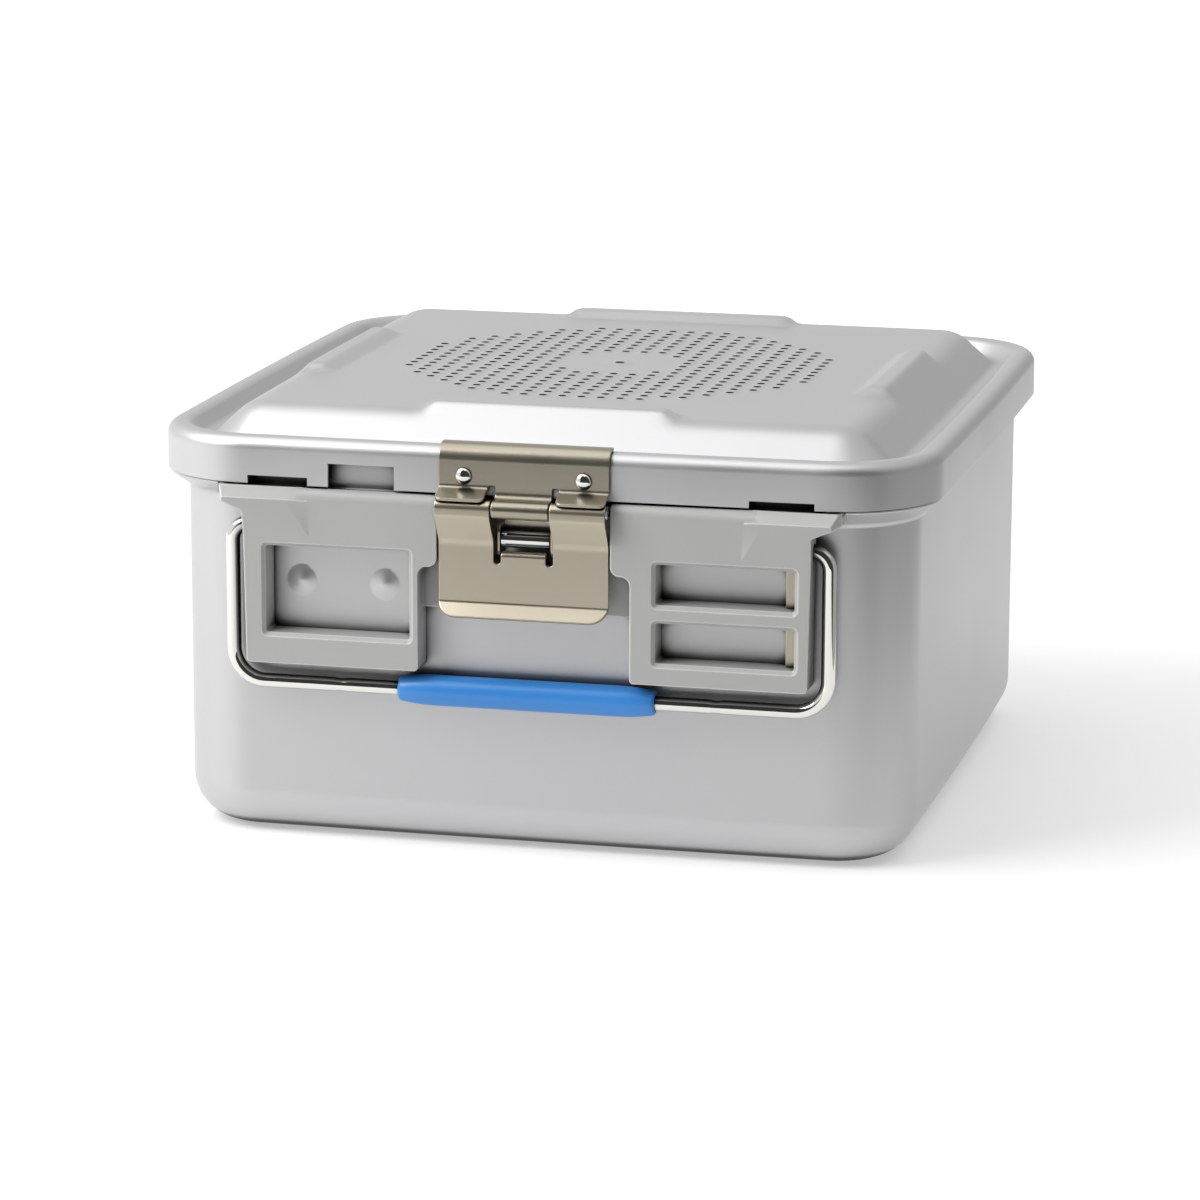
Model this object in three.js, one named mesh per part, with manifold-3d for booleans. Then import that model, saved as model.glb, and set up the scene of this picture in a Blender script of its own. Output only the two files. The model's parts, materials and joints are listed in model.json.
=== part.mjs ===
// Sterilization container, half size: pressed aluminium tub, perforated domed lid, two snap latches,
// two wire carrying handles with label frames, and the filter set under the lid.
// Millimetres, +Z up, origin at the centre of the flat underside, front face towards -Y.
import * as THREE from 'three';
import { ConvexGeometry } from 'three/addons/geometries/ConvexGeometry.js';
import { mergeVertices } from 'three/addons/utils/BufferGeometryUtils.js';
import loadKernel from 'manifold-3d';

const kernel = await loadKernel();
kernel.setup();

// Gap left between pieces that would touch
const fit = 0.3;

// Tub: half sizes are taken at the middle of each side
const tub = {
  halfWidth: 142.2,
  halfDepth: 141.6,
  cornerRadius: 31,
  bow: 0.9,
  wall: 1.8,
  bottomRadius: 18,
  floorInset: 24,
  flareTopZ: 136.1,
  flareHeight: 4.5,
  flareLip: 0.9,
  flareRadius: 3,
  flareReach: 7,
  rimReach: 3.3,
  rimHeight: 14.5,
  rimFootRadius: 1,
};
// The shoulder reaches further out at the front and rear than at the sides
const flareDepthShare = 1.19;
tub.flareStartZ = tub.flareTopZ - tub.flareHeight;
tub.flareEdgeZ = tub.flareTopZ - tub.flareLip;
tub.rimTopZ = tub.flareTopZ + tub.rimHeight;

// Lid, sized from the tub that it covers
const lid = {
  sideOverhang: 7.8,
  frontOverhang: 9.9,
  cornerGrowth: 9,
  bow: 0.9,
  sheet: 1.5,
  shoulderGap: 1.9,
  rimLift: 4.9,
  rimRadius: 4.8,
  crestWidth: 8.2,
  valleyInset: 14.9,
  valleyDepth: 8,
  valleyRadius: 4,
  domeHeight: 7.5,
  domeInset: 32.1,
  domeRadius: 15,
  flatCornerRadius: 1.5,
};
lid.halfWidth = tub.halfWidth + lid.sideOverhang;
lid.halfDepth = tub.halfDepth + lid.frontOverhang;
lid.cornerRadius = tub.cornerRadius + lid.cornerGrowth;
lid.flatInset = lid.cornerRadius - lid.flatCornerRadius;
lid.skirtBottomZ = tub.flareTopZ + lid.shoulderGap;
lid.rimTopZ = tub.rimTopZ + lid.rimLift;
lid.valleyZ = lid.rimTopZ - lid.valleyDepth;
lid.flatTopZ = lid.rimTopZ + lid.domeHeight;

// Stacking bumps at the edge of the flat top, one at the middle of each side
const bump = {
  height: 3,
  halfLength: 50,
  endSlope: 4,
  innerInset: 46.5,
  ridgeInset: 43,
  shoulderInset: 35.5,
  bendInset: 37,
  outerInset: 29,
  rootDepth: 1,
  outerRootDepth: 4.5,
};

// Perforations: a square grid of small holes between two circles, and one hole in the centre
const perforation = {
  pitch: 7.55,
  radius: 1.6,
  innerCircle: 24.2,
  outerCircle: 84.6,
  centreRadius: 1.4,
};

// Seal ring between the tub's rim and the lid
const gasket = {
  outerInset: 2.2,
  innerInset: 8.2,
  height: 2.5,
  chamfer: 1.4,
  outerChamfer: 1.6,
};
gasket.bottomZ = tub.rimTopZ + fit;
gasket.topZ = gasket.bottomZ + gasket.height;

// Handle plate: one moulding with two label frames, two ears and a recessed web between them
const plate = {
  gap: 0.4,
  depth: 12,
  sideMargin: 35.3,
  rise: 0.5,
  height: 66.8,
  innerHalfTop: 33,
  innerHalfLow: 40.4,
  stepDrop: 26.2,
  stepRadius: 3,
  topRadius: 4.6,
  edgeChamfer: 1.4,
  shoulderGap: 0.5,
  webDepth: 4.4,
  webSheet: 2.2,
  webHeight: 42.9,
  windowBevel: 2,
};
plate.backY = -tub.halfDepth - plate.gap;
plate.faceY = plate.backY - plate.depth;
plate.halfWidth = tub.halfWidth - plate.sideMargin;
plate.topZ = tub.flareTopZ + plate.rise;
plate.bottomZ = plate.topZ - plate.height;
plate.stepZ = plate.topZ - plate.stepDrop;
plate.shoulderClearZ = tub.flareStartZ - plate.shoulderGap;
plate.shoulderClearY = -tub.halfDepth - tub.flareReach * flareDepthShare - plate.shoulderGap;
plate.webFrontY = plate.backY - plate.webDepth;
plate.webBackY = plate.webFrontY + plate.webSheet;
plate.webBottomZ = plate.topZ - plate.webHeight;

// Windows, placed by their margins to the plate's edges; the tag windows keep a stop at their outer end
const labelWindow = { outer: 5.9, inner: 2, top: 20, bottom: 10.8 };
const tagWindow = {
  outer: 3.7,
  inner: 7.9,
  top: 19.6,
  bottom: 7.2,
  height: 18,
  stopWidth: 3.9,
  stopDepth: 4,
};
const leftWindow = {
  from: -plate.halfWidth + labelWindow.outer,
  to: -plate.innerHalfLow - labelWindow.inner,
  bottomZ: plate.bottomZ + labelWindow.bottom,
  topZ: plate.topZ - labelWindow.top,
  stopWidth: 0,
};
const tagSpan = {
  from: plate.innerHalfLow + tagWindow.inner,
  to: plate.halfWidth - tagWindow.outer,
  stopWidth: tagWindow.stopWidth,
};
const upperTagZ = plate.topZ - tagWindow.top;
const lowerTagZ = plate.bottomZ + tagWindow.bottom;
const rightWindows = [
  { ...tagSpan, bottomZ: upperTagZ - tagWindow.height, topZ: upperTagZ },
  { ...tagSpan, bottomZ: lowerTagZ, topZ: lowerTagZ + tagWindow.height },
];

// Notches in the skirt's lower edge, each placed by its distance from the plate's edge
const notches = [
  { side: -1, inset: 0.1, width: 23.3, height: 3 },
  { side: -1, inset: 31.4, width: 25.6, height: 8.8 },
  { side: 1, inset: -1.3, width: 24.2, height: 2.6 },
];
const notchReach = 5;

// Low cones pressed out of the tub wall inside the label window
const cone = {
  outerMargin: 12.6,
  innerMargin: 13.6,
  drop: 16.6,
  radius: 6.5,
  pointRadius: 0.9,
  height: 1.2,
};
cone.places = [leftWindow.from + cone.outerMargin, leftWindow.to - cone.innerMargin];
cone.z = leftWindow.topZ - cone.drop;

// Ears at the plate's upper corners: a wedge that swells out of the face, and a pointed tip beyond it
const ear = {
  proud: 2.4,
  pointLength: 6.7,
  length: 11.6,
  pointDepth: 3,
  tipBack: 2.5,
  footInset: 24.7,
  footTopInset: 21.9,
  crestInset: 15.7,
  rootInset: 13,
  height: 8.2,
  fadeHeight: 17.6,
  crownDrop: 3.1,
  crownRun: 4.4,
};
ear.proudY = plate.faceY - ear.proud;
ear.backY = plate.backY - ear.tipBack;
ear.reach = plate.halfWidth + ear.length;
ear.undersideZ = plate.topZ - ear.height;
ear.fadeZ = plate.topZ - ear.fadeHeight;
ear.crownZ = plate.topZ - ear.crownDrop;

// Rivets that hold the moulding on the tub
const plateRivet = {
  sideMargin: 34.9,
  topMargin: 10.1,
  bottomMargin: 3.6,
  shankRadius: 2,
  headRadius: 4,
  headHeight: 1.5,
  depth: 5.5,
};
plateRivet.places = [-1, 1].flatMap((side) => (
  [plate.topZ - plateRivet.topMargin, plate.bottomZ + plateRivet.bottomMargin].map((z) => (
    [side * (plate.halfWidth - plateRivet.sideMargin), z]
  ))
));

// Carrying handle: bent wire with a grip
const handle = {
  wireRadius: 2.75,
  planeDepth: 5.6,
  sideReach: 6.85,
  pivotDrop: 14.1,
  gripDrop: 9.1,
  upperBend: 6.8,
  lowerBend: 12.3,
  endInset: 10.9,
};
handle.planeY = plate.backY - handle.planeDepth;
handle.halfSpan = plate.halfWidth + handle.sideReach;
handle.pivotZ = plate.topZ - handle.pivotDrop;
handle.gripZ = plate.bottomZ - handle.gripDrop;
handle.endHalf = plate.halfWidth - handle.endInset;
const grip = {
  halfLength: 49,
  radius: 5.4,
  endRadius: 4.5,
  taper: 9,
  endRound: 1.2,
};
grip.boreRadius = handle.wireRadius + fit;

// Latch plate on the lid, a folded sheet with a rolled strap for the pin and two tabs
const latch = {
  sheet: 1.2,
  halfWidth: 32.3,
  backInset: 6.2,
  bendRadius: 6.2,
  rise: 2.9,
  strapHalf: 10.8,
  strapCurlAngle: 330,
  tabInner: 13.5,
  tabReach: 7.5,
  tabDrop: 0.2,
  tabCorner: 2.6,
  tabCornerDepth: 4,
  pinDepth: 3.6,
  pinDrop: 4.2,
  pinRadius: 1.9,
  pinHalf: 32.6,
  knuckleGap: 0.3,
};
latch.faceY = -lid.halfDepth - fit - latch.sheet;
latch.topZ = lid.rimTopZ + fit + latch.sheet;
latch.lowerZ = lid.skirtBottomZ + latch.rise;
latch.tabReachY = latch.faceY - latch.tabReach;
latch.tabFrontZ = lid.skirtBottomZ - latch.tabDrop;
latch.pinY = latch.faceY - latch.pinDepth;
latch.pinZ = lid.skirtBottomZ - latch.pinDrop;
latch.knuckleInner = latch.pinRadius + latch.knuckleGap;
latch.knuckleOuter = latch.knuckleInner + latch.sheet;

// Domed rivets that hold the latch plate on the skirt
const latchRivet = {
  places: [-22.7, 22.7],
  rise: 7.1,
  headRadius: 3.15,
  headHeight: 1.7,
  shankRadius: 1.5,
  tailRadius: 2.4,
  tailHeight: 1,
};
latchRivet.z = lid.skirtBottomZ + latchRivet.rise;

// Latch lever, a folded sheet on the same pin, its heights taken down from the pin
const lever = {
  halfWidth: 32.3,
  faceSetback: 3,
  kneeDrop: 2.8,
  kneeRadius: 1,
  creaseDrop: 13,
  creaseRadius: 2,
  lipDrop: 36,
  lipHeight: 4.5,
  lipReach: 5.2,
  cornerRadius: 7,
  backCurlAngle: -20,
  windowHalf: 11.3,
  windowDrop: 15.8,
  slotInner: 8.5,
  slotOuter: 11.8,
  slotDepth: 5.2,
  tongueDepth: 1.2,
  tongueDrop: 1.4,
};
lever.faceY = latch.pinY + lever.faceSetback;
lever.kneeZ = latch.pinZ - lever.kneeDrop;
lever.creaseZ = latch.pinZ - lever.creaseDrop;
lever.lipZ = latch.pinZ - lever.lipDrop;
lever.lipEndZ = lever.lipZ - lever.lipHeight;
lever.windowBottomZ = latch.pinZ - lever.windowDrop;
lever.slotBottomZ = lever.windowBottomZ - lever.slotDepth;

// Catch on the tub: bracket with two ears and a roller
const keeper = {
  sheet: 1.2,
  baseHalf: 15.5,
  baseBelow: 15.3,
  baseAbove: 7.7,
  earInner: 9.6,
  earFront: 3,
  earBelow: 6.3,
  earAbove: 5.7,
  earCut: 3,
  rollerDepth: 6,
  rollerDrop: 12.5,
  rollerRadius: 3.25,
  rollerHalf: 9.2,
  journalRadius: 1.5,
  journalHalf: 11.4,
};
keeper.rollerY = -tub.halfDepth - keeper.rollerDepth;
keeper.rollerZ = latch.pinZ - keeper.rollerDrop;
keeper.earFrontY = keeper.rollerY - keeper.earFront;
keeper.earBottomZ = keeper.rollerZ - keeper.earBelow;
keeper.earTopZ = keeper.rollerZ + keeper.earAbove;
keeper.baseBottomZ = keeper.rollerZ - keeper.baseBelow;
keeper.baseTopZ = keeper.rollerZ + keeper.baseAbove;
const bracketRivet = {
  places: [-4.8, 4.8],
  drop: 11,
  headRadius: 3,
  headHeight: 1.4,
  shankRadius: 1.4,
  tailRadius: 2.4,
  tailHeight: 1,
};
bracketRivet.z = keeper.rollerZ - bracketRivet.drop;

// Opening in the plate's web that leaves the catch free
const webOpening = { halfWidth: 17.5, below: 3, above: 2.5 };
webOpening.bottomZ = keeper.baseBottomZ - webOpening.below;
webOpening.topZ = keeper.baseTopZ + webOpening.above;

// Filter set under the lid, which covers all the perforations
const filterSet = {
  discMargin: 3.4,
  discThickness: 0.6,
  discHole: 8,
  studRadius: 3,
  studFlange: 7,
  studFlangeHeight: 1.1,
  studLength: 12.2,
  studBoreRadius: 1.1,
  studBoreDepth: 4,
  retainerMargin: 2,
  retainerLand: 7,
  retainerSheet: 1.2,
  dishSlope: 3,
  dishDepth: 7,
  retainerHole: 3.5,
  ventRadius: 4,
  knobRadius: 12,
  knobHeight: 5.5,
  knobBore: 3.3,
  knobChamfer: 1.5,
};
filterSet.discRadius = perforation.outerCircle + filterSet.discMargin;
filterSet.retainerRadius = filterSet.discRadius + filterSet.retainerMargin;
filterSet.dishRadius = filterSet.retainerRadius - filterSet.retainerLand - filterSet.dishSlope;
const ventRings = [
  { radius: 30, count: 8 },
  { radius: 58, count: 16 },
];
// Sides of round solids: plain rivets, domed heads and rods, and the round filter parts
const rivetSides = 6;
const headSides = 8;
const rodSides = 10;
const discSides = 24;
// Steps in a quarter turn: sheet bends, the tub's drawn radii, plan corners, folds, and the wire's bends
const bendSteps = 3;
const drawSteps = 6;
const cornerSteps = 8;
const foldSteps = 4;
const wireBendSteps = 4;
// Steps in the rolled strap and knuckles
const curlSteps = 8;
// Shape of a domed rivet head: radius and height as shares of the head's own sizes
const domeShares = [[0.55, 1], [0.88, 0.6], [1, 0]];

// Materials
function finish(color, roughness, metalness) {
  return new THREE.MeshStandardMaterial({ color, roughness, metalness });
}
const anodised = () => finish(0xc4c4c6, 0.45, 0.85);
const greyMoulding = () => finish(0xb4b4b3, 0.55, 0);
const brushedSteel = () => finish(0xa39c8b, 0.35, 1);
const polishedSteel = () => finish(0xd8d8d8, 0.12, 1);
const blueGrip = () => finish(0x3b87d0, 0.4, 0);
const sealRubber = () => finish(0x9a9a96, 0.8, 0);
const filterPaper = () => finish(0xefece2, 0.95, 0);

// Solids and geometries
function solidOf(geometry) {
  geometry.deleteAttribute('normal');
  geometry.deleteAttribute('uv');
  const merged = mergeVertices(geometry);
  return new kernel.Manifold(new kernel.Mesh({
    numProp: 3,
    vertProperties: new Float32Array(merged.attributes.position.array),
    triVerts: new Uint32Array(merged.index.array),
  }));
}

function geometryOf(solid) {
  const mesh = solid.getMesh();
  const geometry = new THREE.BufferGeometry();
  geometry.setAttribute('position', new THREE.BufferAttribute(new Float32Array(mesh.vertProperties), 3));
  geometry.setIndex(new THREE.BufferAttribute(new Uint32Array(mesh.triVerts), 1));
  geometry.computeVertexNormals();
  return geometry;
}

function part(name, solid, material) {
  const mesh = new THREE.Mesh(geometryOf(solid), material);
  mesh.name = name;
  return mesh;
}

function prism(points, depth) {
  const shape = new THREE.Shape(points.map(([x, y]) => new THREE.Vector2(x, y)));
  return new THREE.ExtrudeGeometry(shape, { depth, bevelEnabled: false, steps: 1 });
}

// Prism with its outline in Y and Z, running along X
function prismX(points, from, to) {
  const geometry = prism(points, to - from);
  const axes = new THREE.Matrix4().makeBasis(
    new THREE.Vector3(0, 1, 0),
    new THREE.Vector3(0, 0, 1),
    new THREE.Vector3(1, 0, 0),
  );
  geometry.applyMatrix4(axes);
  geometry.translate(from, 0, 0);
  return solidOf(geometry);
}

// Prism with its outline in X and Z, running along Y
function prismY(points, from, to) {
  const geometry = prism(points, to - from);
  geometry.rotateX(Math.PI / 2);
  geometry.translate(0, to, 0);
  return solidOf(geometry);
}

// Prism with its outline in X and Y, running along Z
function prismZ(points, from, to) {
  const geometry = prism(points, to - from);
  geometry.translate(0, 0, from);
  return solidOf(geometry);
}

function box(x, y, z) {
  const geometry = new THREE.BoxGeometry(x[1] - x[0], y[1] - y[0], z[1] - z[0]);
  geometry.translate((x[0] + x[1]) / 2, (y[0] + y[1]) / 2, (z[0] + z[1]) / 2);
  return solidOf(geometry);
}

// Box whose front rectangle differs from its back one, for bevels and wedges
function wedgeY(back, front) {
  const corners = [];
  [back, front].forEach(({ x, y, z }) => {
    corners.push([x[0], y, z[0]], [x[1], y, z[0]], [x[1], y, z[1]], [x[0], y, z[1]]);
  });
  const geometry = new THREE.BufferGeometry();
  geometry.setAttribute('position', new THREE.Float32BufferAttribute(corners.flat(), 3));
  geometry.setIndex([
    0, 2, 1, 0, 3, 2, 4, 5, 6, 4, 6, 7, 0, 1, 5, 0, 5, 4,
    1, 2, 6, 1, 6, 5, 2, 3, 7, 2, 7, 6, 3, 0, 4, 3, 4, 7,
  ]);
  return facingOut(geometry);
}

// Solid of an indexed mesh, turned inside out where its volume comes out negative
function facingOut(geometry) {
  const position = geometry.attributes.position;
  const index = geometry.index.array;
  const corner = (k) => new THREE.Vector3().fromBufferAttribute(position, index[k]);
  let volume = 0;
  for (let k = 0; k < index.length; k += 3) {
    volume += corner(k).dot(corner(k + 1).cross(corner(k + 2)));
  }
  if (volume < 0) {
    geometry.setIndex(Array.from(index).reverse());
  }
  return solidOf(geometry);
}

// Turned body: the profile lists radius and height along the axis
function turned(profile, sides, axis) {
  const points = profile.map(([radius, height]) => new THREE.Vector2(radius, height));
  const geometry = new THREE.LatheGeometry(points, sides);
  if (axis === 'x') {
    geometry.rotateZ(-Math.PI / 2);
  }
  if (axis === 'z') {
    geometry.rotateX(Math.PI / 2);
  }
  return facingOut(mergeVertices(stripped(geometry)));
}

function stripped(geometry) {
  geometry.deleteAttribute('normal');
  geometry.deleteAttribute('uv');
  return geometry;
}

function rod(radius, from, to, sides, axis) {
  return turned([[0, from], [radius, from], [radius, to], [0, to]], sides, axis);
}

// Points of a round arc about a centre
function arc(centre, radius, fromAngle, toAngle, steps) {
  const points = [];
  for (let k = 0; k <= steps; k += 1) {
    const angle = THREE.MathUtils.degToRad(fromAngle + (toAngle - fromAngle) * k / steps);
    points.push([centre[0] + radius * Math.cos(angle), centre[1] + radius * Math.sin(angle)]);
  }
  return points;
}

// Open path through key points, each rounded by its own radius
function roundedPath(keys, steps) {
  const points = [];
  keys.forEach(([x, y, radius = 0], k) => {
    const here = new THREE.Vector2(x, y);
    if (k === 0 || k === keys.length - 1 || radius <= 0) {
      points.push([x, y]);
      return;
    }
    const back = new THREE.Vector2(keys[k - 1][0], keys[k - 1][1]).sub(here).normalize();
    const ahead = new THREE.Vector2(keys[k + 1][0], keys[k + 1][1]).sub(here).normalize();
    const half = Math.acos(THREE.MathUtils.clamp(back.dot(ahead), -1, 1)) / 2;
    const bisector = back.clone().add(ahead).normalize();
    const centre = here.clone().addScaledVector(bisector, radius / Math.sin(half));
    const reach = radius / Math.tan(half);
    const start = here.clone().addScaledVector(back, reach).sub(centre);
    const end = here.clone().addScaledVector(ahead, reach).sub(centre);
    const turn = Math.atan2(start.cross(end), start.dot(end));
    const arcSteps = Math.max(1, Math.round(steps * Math.abs(turn) / (Math.PI / 2)));
    for (let s = 0; s <= arcSteps; s += 1) {
      const spoke = start.clone().rotateAround(new THREE.Vector2(), turn * s / arcSteps).add(centre);
      points.push([spoke.x, spoke.y]);
    }
  });
  return points;
}

// The same key points moved sideways to the right of the path
function offsetKeys(keys, distance) {
  return keys.map(([x, y, radius = 0], k) => {
    const here = new THREE.Vector2(x, y);
    const along = (a, b) => new THREE.Vector2(keys[b][0] - keys[a][0], keys[b][1] - keys[a][1]).normalize();
    const before = k > 0 ? along(k - 1, k) : along(k, k + 1);
    const after = k < keys.length - 1 ? along(k, k + 1) : before;
    const right = (d) => new THREE.Vector2(d.y, -d.x);
    const mitre = right(before).add(right(after));
    mitre.multiplyScalar(2 * distance / mitre.lengthSq());
    const turnsRight = before.cross(after) < 0;
    const moved = here.add(mitre);
    return [moved.x, moved.y, radius > 0 ? radius + (turnsRight ? -distance : distance) : 0];
  });
}

// Rounded rectangle seen from above, its sides bowed out a little
function outline(halfX, halfY, radius, bow) {
  const cornerX = halfX - bow - radius;
  const cornerY = halfY - bow - radius;
  return [
    [halfX, 0],
    ...arc([cornerX, cornerY], radius, 0, 90, cornerSteps),
    [0, halfY],
    ...arc([-cornerX, cornerY], radius, 90, 180, cornerSteps),
    [-halfX, 0],
    ...arc([-cornerX, -cornerY], radius, 180, 270, cornerSteps),
    [0, -halfY],
    ...arc([cornerX, -cornerY], radius, 270, 360, cornerSteps),
  ];
}

// Rings of one outline, moved out and up by the profile, joined into a closed skin
function sweptRings(profile, base, closed) {
  const rings = profile.map(([out, z]) => {
    const outY = out > 0 ? out * base.outDepthShare : out;
    const ring = outline(base.halfX + out, base.halfY + outY, base.radius + out, base.bow);
    return ring.map(([x, y]) => [x, y, z]);
  });
  const count = rings[0].length;
  const vertices = rings.flat();
  const faces = [];
  const last = closed ? rings.length : rings.length - 1;
  for (let r = 0; r < last; r += 1) {
    const next = (r + 1) % rings.length;
    for (let k = 0; k < count; k += 1) {
      const after = (k + 1) % count;
      const corners = [r * count + k, r * count + after, next * count + after, next * count + k];
      faces.push(corners[0], corners[1], corners[2], corners[0], corners[2], corners[3]);
    }
  }
  if (!closed) {
    [0, rings.length - 1].forEach((r) => {
      const centre = vertices.length;
      vertices.push([0, 0, profile[r][1]]);
      for (let k = 0; k < count; k += 1) {
        const edge = [r * count + k, r * count + (k + 1) % count];
        faces.push(centre, ...(r === 0 ? edge.reverse() : edge));
      }
    });
  }
  const geometry = new THREE.BufferGeometry();
  geometry.setAttribute('position', new THREE.Float32BufferAttribute(vertices.flat(), 3));
  geometry.setIndex(faces);
  return facingOut(geometry);
}

// Mirror of a solid in the middle plane between left and right
function mirrored(solid) {
  return solid.mirror([1, 0, 0]);
}

function union(solids) {
  return kernel.Manifold.union(solids);
}

// Front and rear copies of what belongs to one side
function bothSides(solid) {
  return union([solid, solid.rotate([0, 0, 180])]);
}

// Lid shell
const lidBase = {
  halfX: lid.halfWidth,
  halfY: lid.halfDepth,
  radius: lid.cornerRadius,
  bow: lid.bow,
  outDepthShare: 1,
};
function lidSheet() {
  const keys = [
    [-lid.flatInset, lid.flatTopZ],
    [-lid.domeInset, lid.flatTopZ, lid.domeRadius],
    [-lid.valleyInset, lid.valleyZ, lid.valleyRadius],
    [-lid.crestWidth, lid.rimTopZ, lid.rimRadius],
    [0, lid.rimTopZ, lid.rimRadius],
    [0, lid.skirtBottomZ],
  ];
  const outer = roundedPath(keys, bendSteps);
  const inner = roundedPath(offsetKeys(keys, lid.sheet), bendSteps);
  return sweptRings([...outer, ...inner.reverse()], lidBase, false);
}

// One bump on the side that faces -Y: a section whose foot is longer than its ridge, closed at both ends
function bumpAt(half) {
  const ridgeZ = lid.flatTopZ + bump.height;
  const ridgeHalf = bump.halfLength - bump.endSlope;
  const section = [
    [bump.halfLength, bump.innerInset, lid.flatTopZ - bump.rootDepth],
    [bump.halfLength, bump.bendInset, lid.flatTopZ - bump.rootDepth],
    [bump.halfLength, bump.outerInset, lid.flatTopZ - bump.outerRootDepth],
    [ridgeHalf, bump.shoulderInset, ridgeZ],
    [ridgeHalf, bump.ridgeInset, ridgeZ],
  ];
  const count = section.length;
  const corners = [-1, 1].flatMap((side) => section.map(([x, inset, z]) => [side * x, inset - half, z]));
  const faces = [];
  for (let k = 1; k < count - 1; k += 1) {
    faces.push(0, k, k + 1, count, count + k + 1, count + k);
  }
  for (let k = 0; k < count; k += 1) {
    const next = (k + 1) % count;
    faces.push(k, count + k, count + next, k, count + next, next);
  }
  const geometry = new THREE.BufferGeometry();
  geometry.setAttribute('position', new THREE.Float32BufferAttribute(corners.flat(), 3));
  geometry.setIndex(faces);
  return facingOut(geometry);
}

const holeSides = 5;
function perforations() {
  const reach = Math.ceil(perforation.outerCircle / perforation.pitch);
  const from = lid.flatTopZ - lid.sheet - fit;
  const to = lid.flatTopZ + fit;
  const holes = [rod(perforation.centreRadius, from, to, holeSides + 1, 'z')];
  const hole = rod(perforation.radius, from, to, holeSides, 'z');
  for (let column = -reach; column < reach; column += 1) {
    for (let row = -reach; row < reach; row += 1) {
      const x = (column + 0.5) * perforation.pitch;
      const y = (row + 0.5) * perforation.pitch;
      const distance = Math.hypot(x, y);
      if (distance > perforation.innerCircle && distance < perforation.outerCircle) {
        holes.push(hole.translate([x, y, 0]));
      }
    }
  }
  return kernel.Manifold.compose(holes);
}

function skirtNotches() {
  const y = [-lid.halfDepth - notchReach, -lid.halfDepth + notchReach];
  const cuts = notches.map(({ side, inset, width, height }) => {
    const outerX = side * (plate.halfWidth - inset);
    const x = [outerX, outerX - side * width].sort((a, b) => a - b);
    return box(x, y, [lid.skirtBottomZ - notchReach, lid.skirtBottomZ + height]);
  });
  return union(cuts);
}

function latchRivetHoles() {
  const y = [-lid.halfDepth - notchReach, -lid.halfDepth + notchReach];
  const holes = latchRivet.places.map((x) => (
    rod(latchRivet.shankRadius + fit, ...y, rivetSides, 'y').translate([x, 0, latchRivet.z])
  ));
  return union(holes);
}

function lidShell() {
  const bumps = [bumpAt(lid.halfDepth), bumpAt(lid.halfWidth).rotate([0, 0, 90])];
  const body = union([lidSheet(), ...bumps.map(bothSides)]);
  const cuts = union([bothSides(skirtNotches()), bothSides(latchRivetHoles())]);
  return body.subtract(cuts).subtract(perforations());
}

function lidGasket() {
  const profile = [
    [-gasket.outerInset, gasket.bottomZ],
    [-gasket.outerInset, gasket.topZ - gasket.outerChamfer],
    [-gasket.outerInset - gasket.outerChamfer, gasket.topZ],
    [-gasket.innerInset + gasket.chamfer, gasket.topZ],
    [-gasket.innerInset, gasket.topZ - gasket.chamfer],
    [-gasket.innerInset, gasket.bottomZ],
  ];
  return sweptRings(profile, lidBase, true);
}

// Tub
const tubBase = {
  halfX: tub.halfWidth,
  halfY: tub.halfDepth,
  radius: tub.cornerRadius,
  bow: tub.bow,
  outDepthShare: flareDepthShare,
};

function tubSheet() {
  const outer = roundedPath([
    [-tub.floorInset, 0],
    [0, 0, tub.bottomRadius],
    [0, tub.flareStartZ, tub.flareRadius],
    [tub.flareReach, tub.flareEdgeZ],
    [tub.flareReach, tub.flareTopZ],
    [tub.rimReach, tub.flareTopZ, tub.rimFootRadius],
    [tub.rimReach, tub.rimTopZ],
  ], drawSteps);
  const inner = roundedPath([
    [-tub.floorInset, tub.wall],
    [-tub.wall, tub.wall, tub.bottomRadius - tub.wall],
    [-tub.wall, tub.flareStartZ, tub.flareRadius],
    [tub.rimReach - tub.wall, tub.flareTopZ, tub.flareRadius],
    [tub.rimReach - tub.wall, tub.rimTopZ],
  ], drawSteps);
  return sweptRings([...outer, ...inner.reverse()], tubBase, false);
}

function wallCones() {
  const rootY = -tub.halfDepth + tub.bow;
  const pointY = -tub.halfDepth - cone.height;
  const cones = cone.places.map((x) => (
    turned([
      [0, rootY],
      [cone.radius, rootY],
      [cone.pointRadius, pointY],
      [0, pointY],
    ], rodSides, 'y').translate([x, 0, cone.z])
  ));
  return union(cones);
}

function tubRivetHoles() {
  const outside = -tub.halfDepth - tub.wall;
  const inside = -tub.halfDepth + 2 * tub.wall;
  const plateHoles = plateRivet.places.map(([x, z]) => (
    rod(plateRivet.shankRadius + fit, outside, inside, rivetSides, 'y').translate([x, 0, z])
  ));
  const bracketHoles = bracketRivet.places.map((x) => (
    rod(bracketRivet.shankRadius + fit, outside, inside, rivetSides, 'y').translate([x, 0, bracketRivet.z])
  ));
  return union([...plateHoles, ...bracketHoles]);
}

function containerBody() {
  const cones = wallCones();
  const cuts = union([cones.translate([0, tub.wall, 0]), tubRivetHoles()]);
  return tubSheet().add(bothSides(cones)).subtract(bothSides(cuts));
}

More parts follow.
